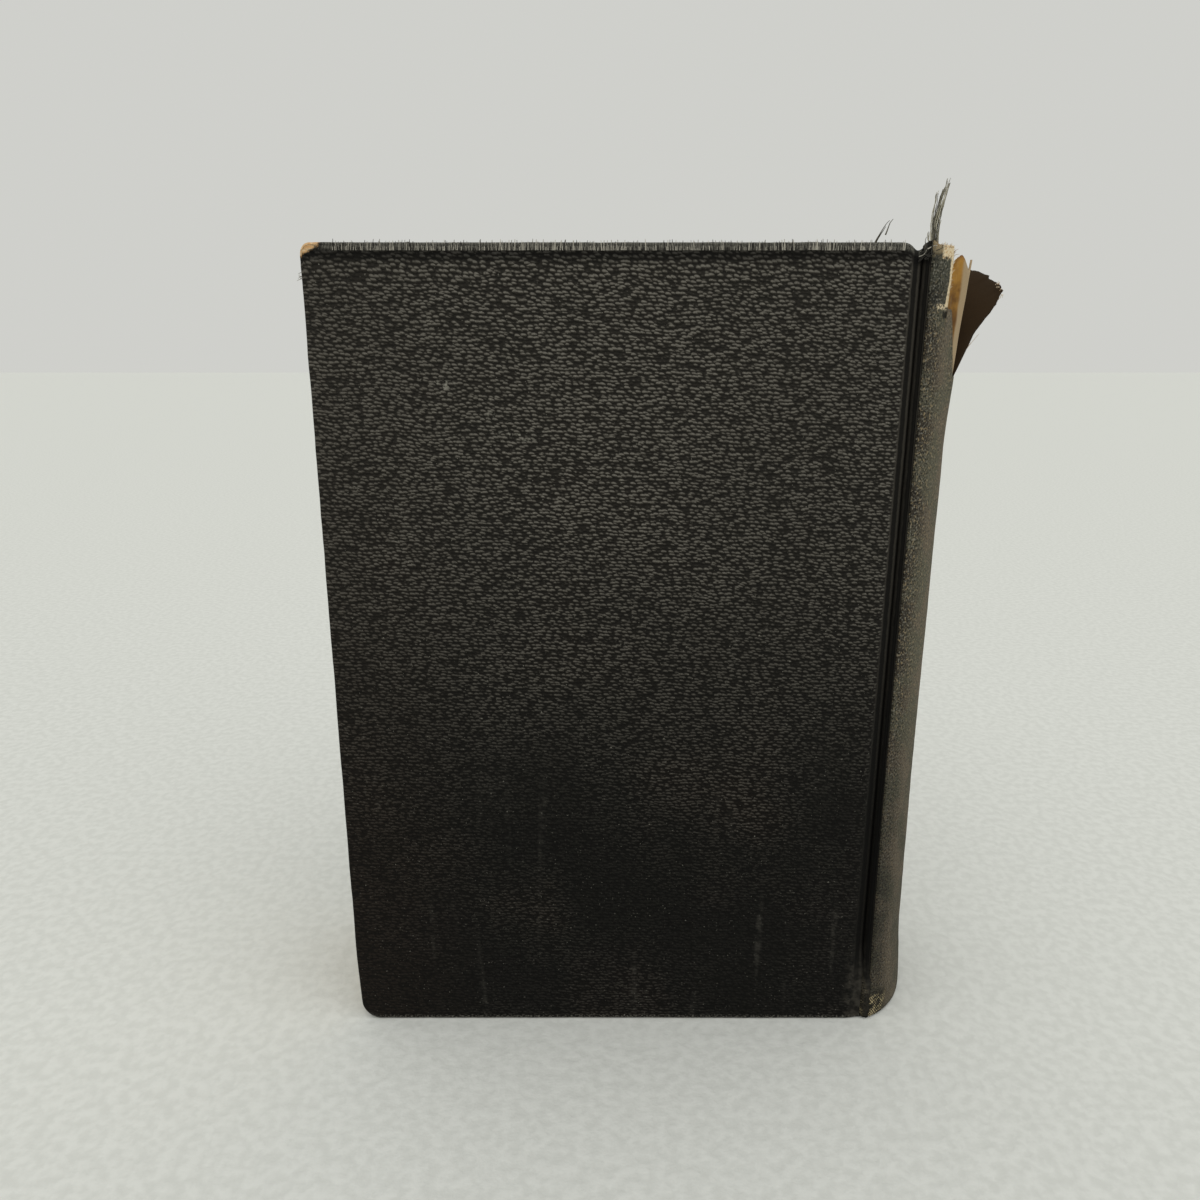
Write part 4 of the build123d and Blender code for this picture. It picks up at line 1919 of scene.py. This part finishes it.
@dataclass
class ThreadFringe:
    """Short frayed thread ends standing in a row along a path."""

    pitch: float
    length: float
    radius: float
    bend: float
    spread: float
    seed: int

    def tree(self, finish: bpy.types.Material) -> ThreadTree:
        """Builds the fringe's tree.

        Args:
            finish: The threads' material.

        Returns:
            The tree, ready to run.
        """
        made = ThreadTree(
            "thread_fringe",
            {
                "Pitch": float(self.pitch),
                "Length": float(self.length),
                "Radius": float(self.radius),
                "Bend": float(self.bend),
                "Spread": float(self.spread),
                "Seed": int(self.seed),
                "Material": finish,
            },
        )
        path = made.add("GeometryNodeMeshToCurve", None, {"Mesh": made.given("Geometry")})
        spaced = made.add(
            "GeometryNodeResampleCurve",
            {"mode": "LENGTH"},
            {"Curve": path.outputs[0], "Length": made.given("Pitch")},
        )
        tip = made.add("ShaderNodeCombineXYZ", None, {"Y": made.given("Bend"), "Z": made.given("Length")})
        half = made.add("ShaderNodeMath", {"operation": "MULTIPLY"}, {0: made.given("Length"), 1: 0.62})
        knee = made.add("ShaderNodeCombineXYZ", None, {"Z": half.outputs[0]})
        thread = made.add(
            "GeometryNodeCurveQuadraticBezier",
            None,
            {"Resolution": 4, "Start": (0.0, 0.0, 0.0), "Middle": knee.outputs[0], "End": tip.outputs[0]},
        )
        tube = made.tube(thread.outputs[0], 4, 0.45)
        outward = made.add(
            "GeometryNodeInputNamedAttribute", {"data_type": "FLOAT_VECTOR"}, {"Name": "outward"}
        )
        aim = made.add(
            "FunctionNodeAlignRotationToVector",
            {"axis": "Y", "pivot_axis": "Z"},
            {"Vector": outward.outputs["Attribute"]},
        )
        low = made.add("ShaderNodeMath", {"operation": "MULTIPLY"}, {0: made.given("Spread"), 1: -1.0})
        tilt_low = made.add("ShaderNodeCombineXYZ", None, {k: low.outputs[0] for k in "XYZ"})
        tilt_high = made.add("ShaderNodeCombineXYZ", None, {k: made.given("Spread") for k in "XYZ"})
        tilt = made.add(
            "FunctionNodeRandomValue",
            {"data_type": "FLOAT_VECTOR"},
            {0: tilt_low.outputs[0], 1: tilt_high.outputs[0], "Seed": made.given("Seed")},
        )
        turned = made.add(
            "FunctionNodeRotateRotation",
            {"rotation_space": "LOCAL"},
            {"Rotation": aim.outputs[0], "Rotate By": tilt.outputs[0]},
        )
        size = made.add(
            "FunctionNodeRandomValue",
            {"data_type": "FLOAT"},
            {2: 0.45, 3: 1.15, "Seed": made.given("Seed")},
        )
        stood = made.add(
            "GeometryNodeInstanceOnPoints",
            None,
            {
                "Points": spaced.outputs[0],
                "Instance": tube,
                "Rotation": turned.outputs[0],
                "Scale": size.outputs[1],
            },
        )
        tone = made.add(
            "FunctionNodeRandomValue",
            {"data_type": "FLOAT"},
            {2: 0.0, 3: 1.0, "Seed": self.seed + 7},
        )
        stored = made.add(
            "GeometryNodeStoreNamedAttribute",
            {"data_type": "FLOAT", "domain": "INSTANCE"},
            {"Geometry": stood.outputs[0], "Name": "thread_tone", "Value": tone.outputs[1]},
        )
        made.end(stored.outputs[0])
        return made

    def grow(
        self, name: str, body: str, path: list[tuple[Point, Point]], finish: bpy.types.Material
    ) -> bpy.types.Object:
        """Grows the fringe along a path.

        Args:
            name: The piece's name.
            body: The body it rides on.
            path: Points, each with the direction that the threads bend towards.
            finish: The threads' material.

        Returns:
            The finished piece.
        """
        mesh = bpy.data.meshes.new(name)
        edges = [(i, i + 1) for i in range(len(path) - 1)]
        mesh.from_pydata([where for where, _ in path], edges, [])
        outward = mesh.attributes.new("outward", "FLOAT_VECTOR", "POINT")
        for index, (_, direction) in enumerate(path):
            outward.data[index].vector = direction
        return self.tree(finish).grow(name, body, mesh)


@dataclass
class StrandBundle:
    """Long loose threads that follow drawn paths."""

    radius: float
    wander: float
    seed: int

    def tree(self, finish: bpy.types.Material) -> ThreadTree:
        """Builds the strands' tree.

        Args:
            finish: The threads' material.

        Returns:
            The tree, ready to run.
        """
        made = ThreadTree(
            "loose_strands",
            {
                "Radius": float(self.radius),
                "Wander": float(self.wander),
                "Seed": int(self.seed),
                "Material": finish,
            },
        )
        path = made.add("GeometryNodeMeshToCurve", None, {"Mesh": made.given("Geometry")})
        kind = made.add("GeometryNodeCurveSplineType", {"spline_type": "NURBS"}, {"Curve": path.outputs[0]})
        spaced = made.add(
            "GeometryNodeResampleCurve",
            {"mode": "LENGTH"},
            {"Curve": kind.outputs[0], "Length": 0.5 * MM},
        )
        along = made.add("GeometryNodeSplineParameter")
        sway = made.add(
            "ShaderNodeTexNoise",
            {"noise_dimensions": "4D"},
            {"W": made.given("Seed"), "Scale": 420.0, "Detail": 2.0},
        )
        centred = made.add(
            "ShaderNodeVectorMath",
            {"operation": "SUBTRACT"},
            {0: sway.outputs["Color"], 1: (0.5, 0.5, 0.5)},
        )
        share = made.add(
            "ShaderNodeMath",
            {"operation": "MULTIPLY"},
            {0: along.outputs["Factor"], 1: made.given("Wander")},
        )
        moved = made.add(
            "ShaderNodeVectorMath",
            {"operation": "SCALE"},
            {0: centred.outputs[0], "Scale": share.outputs[0]},
        )
        swayed = made.add(
            "GeometryNodeSetPosition", None, {"Geometry": spaced.outputs[0], "Offset": moved.outputs[0]}
        )
        made.end(made.tube(swayed.outputs[0], 5, 0.35))
        return made

    def grow(
        self, name: str, body: str, strands: list[tuple[list[Point], float]], finish: bpy.types.Material
    ) -> bpy.types.Object:
        """Grows tubes along the strands.

        Args:
            name: The piece's name.
            body: The body it rides on.
            strands: Paths with their tones.
            finish: The threads' material.

        Returns:
            The finished piece.
        """
        points: list[Point] = []
        edges: list[tuple[int, int]] = []
        tones: list[float] = []
        for path, tone in strands:
            start = len(points)
            points += path
            tones += [tone] * len(path)
            edges += [(start + i, start + i + 1) for i in range(len(path) - 1)]
        mesh = bpy.data.meshes.new(name)
        mesh.from_pydata(points, edges, [])
        layer = mesh.attributes.new("thread_tone", "FLOAT", "POINT")
        layer.data.foreach_set("value", tones)
        return self.tree(finish).grow(name, body, mesh)


@dataclass
class HeadFray:
    """Frayed threads of the covers' head edges, the torn spine and the flap."""

    book: BookFrame
    section: CaseSection
    spine: SpineCloth
    seed: int = 5

    def edge_path(
        self, cloth: CoverCloth, start_x: float, end_x: float
    ) -> list[tuple[Point, Point]]:
        """Path just under a cover's head edge, on its outer face.

        Args:
            cloth: The cover's cloth.
            start_x: Where it starts.
            end_x: Where it ends.

        Returns:
            Points, each with its outward direction.
        """
        sign = cloth.side.value
        path = []
        for x in steps(start_x, end_x, 1.5 * MM):
            _, level, z = cloth.face_point(x, self.book.head_z - self.section.worn_edge)
            where = (x, sign * (level + 0.10 * MM), z - 0.95 * MM)
            path.append((where, (0.0, -float(sign), 0.0)))
        return path

    def build(
        self,
        covers: dict[Side, CoverCloth],
        grey: bpy.types.Material,
        pale: bpy.types.Material,
        dark: bpy.types.Material,
    ) -> list[bpy.types.Object]:
        """Builds every fringe and strand.

        Args:
            covers: Both covers' cloth.
            grey: Finish of the worn edge's threads.
            pale: Finish of cream fibres.
            dark: Finish of dark strands.

        Returns:
            The pieces.
        """
        b = self.book
        made = []
        fringe = ThreadFringe(0.28 * MM, 2.0 * MM, 0.11 * MM, 0.45 * MM, 0.13, self.seed)
        for side, cloth in covers.items():
            start = b.fore_x + (7.5 * MM if side is Side.BACK else 3 * MM)
            path = self.edge_path(cloth, start, b.joint_x - 0.5 * MM)
            made.append(fringe.grow(f"{side.word}_head_threads", f"{side.word}_cover", path, grey))
        made += [self.spine_fringe(pale), self.strip_fringe(pale), self.main_bunch(dark)]
        made += [self.joint_strands(dark), self.flap_strands(pale), self.crossing_strands(grey)]
        return made + [self.cover_nicks(grey)]

    def cover_nicks(self, finish: bpy.types.Material) -> bpy.types.Object:
        """Pulled threads of the back cover: a nick in its fore-edge and loops over its head.

        Args:
            finish: The threads' material.

        Returns:
            The finished piece.
        """
        b = self.book
        draw = random.Random(self.seed + 21)
        edge = b.cover_y - 0.5 * MM
        strands = []
        for _ in range(6):
            root = Vector((b.fore_x + 0.7 * MM, -edge, b.head_z - draw.uniform(5.6, 7.0) * MM))
            tip = root + Vector((draw.uniform(-1.6, -0.8), -0.4, draw.uniform(-0.8, 0.8))) * MM
            strands.append((self.loose_strand(root, tip, 0.3 * MM, draw), draw.uniform(0.3, 0.8)))
        for place, reach in ((22.5, 2.4), (32.0, 3.2), (103.5, 3.0), (105.5, 2.2), (124.0, 2.6)):
            root = Vector((b.fore_x + place * MM, -edge, b.head_z - 0.2 * MM))
            tip = root + Vector((reach, -0.3, draw.uniform(0.1, 0.5))) * MM
            loop = Vector((0.0, 0.0, 0.9 * MM))
            strands.append((self.bowed(root, tip, loop), draw.uniform(0.0, 0.9)))
        bundle = StrandBundle(0.10 * MM, 0.3 * MM, self.seed + 21)
        return bundle.grow("cover_pulled_threads", "back_cover", strands, finish)

    def spine_fringe(self, finish: bpy.types.Material) -> bpy.types.Object:
        """Cream fibres along the torn near strip.

        Args:
            finish: The threads' material.

        Returns:
            The finished piece.
        """
        s = self.spine
        path = []
        for z_drop in steps(0.2 * MM, 12 * MM, 0.8 * MM):
            where = s.on_spine(s.near_tear_y, z_drop)
            path.append((tuple(where), (0.75, 0.66, 0.0)))
        fringe = ThreadFringe(0.22 * MM, 0.9 * MM, 0.07 * MM, 0.5 * MM, 0.9, self.seed + 3)
        return fringe.grow("spine_tear_fibres", "text_body", path, finish)

    def strip_fringe(self, finish: bpy.types.Material) -> bpy.types.Object:
        """Cream fibres over the head of the near strip.

        Args:
            finish: The threads' material.

        Returns:
            The finished piece.
        """
        s = self.spine
        path = []
        for y in steps(-self.book.ridge_y + 0.6 * MM, s.near_tear_y, 0.4 * MM):
            where = s.on_spine(y, -0.1 * MM)
            path.append((tuple(where), (-0.5, 0.87, 0.0)))
        fringe = ThreadFringe(0.16 * MM, 1.0 * MM, 0.07 * MM, 0.5 * MM, 0.7, self.seed + 4)
        return fringe.grow("strip_head_fibres", "text_body", path, finish)

    def loose_strand(self, start: Vector, end: Vector, bow: float, draw: random.Random) -> list[Point]:
        """Path of a short bowed thread.

        Args:
            start: Its root.
            end: Its tip.
            bow: How far its middle stands off.
            draw: Source of its small wander.

        Returns:
            Six points.
        """
        aside = scattered(draw, (-1, 1), (-1, 0.2), (-1, 1)).normalized() * bow
        return self.bowed(start, end, aside)

    def bowed(self, start: Vector, end: Vector, aside: Vector) -> list[Point]:
        """Six points from start to end, the middle of which stands aside."""
        return [tuple(start.lerp(end, k / 5) + aside * math.sin(math.pi * k / 5)) for k in range(6)]

    def flap_strands(self, finish: bpy.types.Material) -> bpy.types.Object:
        """Pale threads along the flap's lower edge and at its torn tip.

        Args:
            finish: The threads' material.

        Returns:
            The finished piece.
        """
        b = self.book
        draw = random.Random(self.seed + 12)
        apex = Vector((b.spine_x + b.spine_radius, 0.0, b.head_z))
        low = apex + Vector((0.2, -5.0, -25.5)) * MM
        tip = apex + Vector((15.6, 7.2, -6.6)) * MM
        strands = []
        for reach, offset in ((0.66, -0.2), (0.50, -0.7)):
            start = low + Vector((offset, -0.4, -0.6)) * MM
            end = low.lerp(apex + Vector((12.2, 3.3, -12.2)) * MM, reach) + Vector((offset, -0.4, -0.8)) * MM
            strands.append((self.loose_strand(start, end, 0.5 * MM, draw), draw.uniform(0.3, 0.6)))
        for _ in range(16):
            root = tip + scattered(draw, (-1.8, 0.1), (-0.7, 1.2), (-2.6, 1.6)) * MM
            end = root + scattered(draw, (0.1, 1.0), (-0.4, 0.4), (-0.9, 0.9)) * MM
            strands.append((self.loose_strand(root, end, 0.35 * MM, draw), draw.uniform(0.1, 0.8)))
        bundle = StrandBundle(0.10 * MM, 0.3 * MM, self.seed + 12)
        return bundle.grow("flap_fray", "text_body", strands, finish)

    def crossing_strands(self, finish: bpy.types.Material) -> bpy.types.Object:
        """Short threads over the dip where the head edge crosses the joint.

        Args:
            finish: The threads' material.

        Returns:
            The finished piece.
        """
        b = self.book
        draw = random.Random(self.seed + 15)
        middle = Vector((b.ridge_x - 0.6 * MM, -b.ridge_y + 0.2 * MM, b.head_z - 1.6 * MM))
        strands = []
        for _ in range(22):
            root = middle + scattered(draw, (-2.2, 1.6), (0.0, 0.8), (-1.6, 1.4)) * MM
            end = root + scattered(draw, (0.4, 1.9), (-0.8, 0.0), (-0.2, 1.5)) * MM
            path = self.loose_strand(root, end, 0.4 * MM, draw)
            strands.append((path, draw.choice((0.0, 0.05, 0.1, 0.5, 0.9))))
        bundle = StrandBundle(0.12 * MM, 0.4 * MM, self.seed + 15)
        return bundle.grow("joint_fray", "text_body", strands, finish)

    def main_bunch(self, finish: bpy.types.Material) -> bpy.types.Object:
        """The bunch of long threads standing up at the head of the spine.

        Args:
            finish: The threads' material.

        Returns:
            The finished piece.
        """
        b = self.book
        draw = random.Random(self.seed + 1)
        root = Vector((b.ridge_x + 0.9 * MM, -b.ridge_y + 0.9 * MM, b.head_z - 1.2 * MM))
        tips = [
            ((1.3, 14.2), 9),
            ((-1.0, 11.6), 5),
            ((0.4, 12.2), 9),
            ((-0.1, 6.5), 8),
            ((-2.3, 3.4), 4),
        ]
        strands = []
        for (reach, height), count in tips:
            for _ in range(count):
                start = root + Vector((draw.uniform(-0.9, 0.7) * MM, draw.uniform(-0.2, 0.5) * MM, 0.0))
                tip = Vector((b.ridge_x + (1.6 + reach) * MM, -b.ridge_y + 2.0 * MM, b.head_z + height * MM))
                tip += scattered(draw, (-0.35, 0.35), (-0.5, 0.5), (-1.2, 0.0)) * MM
                bulge = Vector((draw.uniform(-0.3, 0.1), draw.uniform(-0.2, 0.2), 0.0)) * MM
                path = []
                for k in range(7):
                    t = k / 6
                    bow = math.sin(math.pi * t)
                    where = start.lerp(tip, t) + bulge * bow - Vector((0.55 * MM * bow, 0.0, 0.0))
                    path.append(tuple(where))
                strands.append((path, draw.uniform(0.15, 1.0)))
        bundle = StrandBundle(0.15 * MM, 1.1 * MM, self.seed)
        return bundle.grow("head_thread_bunch", "text_body", strands, finish)

    def joint_strands(self, finish: bpy.types.Material) -> bpy.types.Object:
        """The second pair of thin threads, at the fore-edge side of the joint.

        Args:
            finish: The threads' material.

        Returns:
            The finished piece.
        """
        b = self.book
        draw = random.Random(self.seed + 2)
        base_y = -b.cover_y + 0.5 * MM
        shapes = [
            ((40.5, -0.6), (44.0, 5.2)),
            ((40.8, -0.6), (43.5, 4.0)),
            ((43.3, 2.3), (44.7, 5.5)),
            ((41.8, -0.5), (43.1, 0.8)),
        ]
        strands = []
        for (x0, z0), (x1, z1) in shapes:
            path = []
            for k in range(5):
                t = k / 4
                x = blend_between(x0, x1, t) * MM + draw.uniform(-0.1, 0.1) * MM
                z = blend_between(z0, z1, t) * MM + 0.4 * MM * math.sin(math.pi * t)
                path.append((x, base_y + 0.6 * MM * t, b.head_z + z))
            strands.append((path, draw.uniform(0.0, 0.3)))
        bundle = StrandBundle(0.17 * MM, 0.8 * MM, self.seed + 9)
        return bundle.grow("head_loose_pair", "back_cover", strands, finish)


# ---- CAD nodes that stay ----


class CadFinishes:
    """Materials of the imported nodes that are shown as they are."""

    def __init__(self) -> None:
        """Makes the paper finishes."""
        self.endpaper = AgedPaper("endpaper", rgb(0.56, 0.45, 0.30), rgb(0.40, 0.27, 0.14)).build()
        self.lining = AgedPaper("lining_paper", rgb(0.40, 0.28, 0.16), rgb(0.25, 0.15, 0.07)).build()

    def dress(self) -> None:
        """Gives each node its finish."""
        finishes = {
            "back_pastedown": self.endpaper,
            "front_pastedown": self.endpaper,
            "back_endpaper": self.endpaper,
            "front_endpaper": self.endpaper,
            "spine_lining": self.lining,
        }
        for name, finish in finishes.items():
            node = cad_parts[name]
            node.data.materials.clear()
            node.data.materials.append(finish)
            log.info("dressed %s", name)


# ---- Studio ----


@dataclass
class Studio:
    """Floor, light and camera."""

    floor_half: float = 12.0
    camera_place: Point = (-0.018175, -0.2305, 0.1735)
    camera_pitch: float = 15.0
    lens: float = 27.0
    air: Colour = rgb(0.97, 0.975, 0.93)
    air_strength: float = 0.645

    def build(self) -> None:
        """Builds the studio."""
        self.lay_floor()
        self.light("overhead_softbox", (-0.10, -0.30, 1.0), 1.06, 70.0)
        self.light("right_softbox", (0.9, -0.5, 0.8), 0.34, 50.0)
        self.light_world()
        self.aim_camera()

    def lay_floor(self) -> None:
        """Lays the floor."""
        half = self.floor_half
        mesh = bpy.data.meshes.new("studio_floor")
        corners = [(-half, -half, 0.0), (half, -half, 0.0), (half, half, 0.0), (-half, half, 0.0)]
        mesh.from_pydata(corners, [], [(0, 1, 2, 3)])
        mesh.materials.append(StudioFloor().build())
        link_object("studio_floor", mesh)

    def light(self, name: str, source: Point, strength: float, spread: float) -> None:
        """Hangs one wide soft light that falls evenly over the floor.

        Args:
            name: The light's name.
            source: The direction it comes from.
            strength: Its strength in watts per square metre.
            spread: How wide it looks, in degrees.
        """
        lamp = bpy.data.lights.new(name, "SUN")
        lamp.energy = strength
        lamp.angle = math.radians(spread)
        holder = link_object(name, lamp)
        holder.rotation_euler = (-Vector(source)).to_track_quat("-Z", "Y").to_euler()

    def light_world(self) -> None:
        """Sets the even pale light all round."""
        world = bpy.data.worlds.new("studio_air")
        world.use_nodes = True
        background = world.node_tree.nodes["Background"]
        background.inputs["Color"].default_value = self.air
        background.inputs["Strength"].default_value = self.air_strength
        bpy.context.scene.world = world

    def aim_camera(self) -> None:
        """Places the camera."""
        lens = bpy.data.cameras.new("camera")
        lens.lens = self.lens
        lens.sensor_width = 36.0
        lens.clip_start = 0.01
        camera = link_object("camera", lens)
        camera.location = self.camera_place
        camera.rotation_euler = (math.radians(90.0 - self.camera_pitch), 0.0, 0.0)
        bpy.context.scene.camera = camera


def report(piece: bpy.types.Object) -> None:
    """Logs one finished piece."""
    log.info("%s: %d faces", piece.name, len(piece.data.polygons))


def main() -> None:
    """Builds and dresses the book."""
    logging.basicConfig(level=logging.INFO, format="%(message)s")
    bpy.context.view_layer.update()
    bpy.context.scene.view_settings.view_transform = "Standard"
    book = BookFrame.from_cad()
    section = CaseSection(book)
    Studio().build()

    spine = SpineCloth(book, section)
    joint_u = book.joint_x - book.fore_x + 0.2 * MM
    crease_u = book.crease_x - book.fore_x
    scuffs = (
        Scuff(30.5 * MM, 168 * MM, 2.6 * MM, 1.4 * MM, 0.1, 0.8),
        Scuff(46.2 * MM, 156.5 * MM, 5.2 * MM, 0.9 * MM, -0.2, 0.9),
        Scuff(40.5 * MM, 162 * MM, 1.2 * MM, 4.0 * MM, 0.2, 0.35),
    )
    back_finish = BindingCloth(
        "back_binding_cloth", book.head_z, joint_u, scuffs=scuffs, bare_corner=2.1 * MM
    ).build()
    front_finish = BindingCloth("front_binding_cloth", book.head_z, joint_u).build()
    spine_finish = BindingCloth(
        "spine_binding_cloth",
        book.head_z,
        crease_u,
        spine.developed(crease_u, book.cover_y),
        near_tear_u=spine.developed(crease_u, spine.near_tear_y),
        tear_v=book.head_z - spine.near_drop,
    ).build()
    board_finish = Strawboard().build()

    covers = {
        Side.BACK: CoverCloth(book, section, Side.BACK),
        Side.FRONT: CoverCloth(book, section, Side.FRONT, tail_radius=2.6 * MM, blunt_tail=0.5 * MM),
    }
    for side, cloth in covers.items():
        report(cloth.build(back_finish if side is Side.BACK else front_finish))
        report(VisualBoard(book, cloth).build(board_finish))

    # the flap's dark brown is its cloth's inner side, darkened further as painted shade
    flap_brown_and_shade = rgb(0.024, 0.0125, 0.0035)
    flap_finish = AgedPaper("flap_inner_side", flap_brown_and_shade, rgb(0.010, 0.005, 0.0015)).build()
    inlay_finish = StainedInlay("stained_inlay", book.head_z, -13.4 * MM).build()
    report(SpineInlay(book, section).build(inlay_finish))
    report(spine.build(spine_finish, crease_u))
    report(spine.build_flap(flap_finish))
    report(TextBlock(book).build(AgedPaper("page_paper", leafed=True).build()))
    report(GauzeBacking(book).build(OpenMull().build()))

    grey_thread = LooseThread("worn_edge_thread").build()
    pale_thread = LooseThread("cream_fibre", rgb(0.30, 0.19, 0.10), rgb(0.78, 0.66, 0.47)).build()
    dark_thread = LooseThread("dark_strand", rgb(0.060, 0.055, 0.040), rgb(0.46, 0.43, 0.33)).build()
    for piece in HeadFray(book, section, spine).build(covers, grey_thread, pale_thread, dark_thread):
        report(piece)
    papers = CadFinishes()
    papers.dress()
    for side in Side:
        report(EndpaperFold(book, side).build(papers.endpaper))


if __name__ == "__main__":
    main()
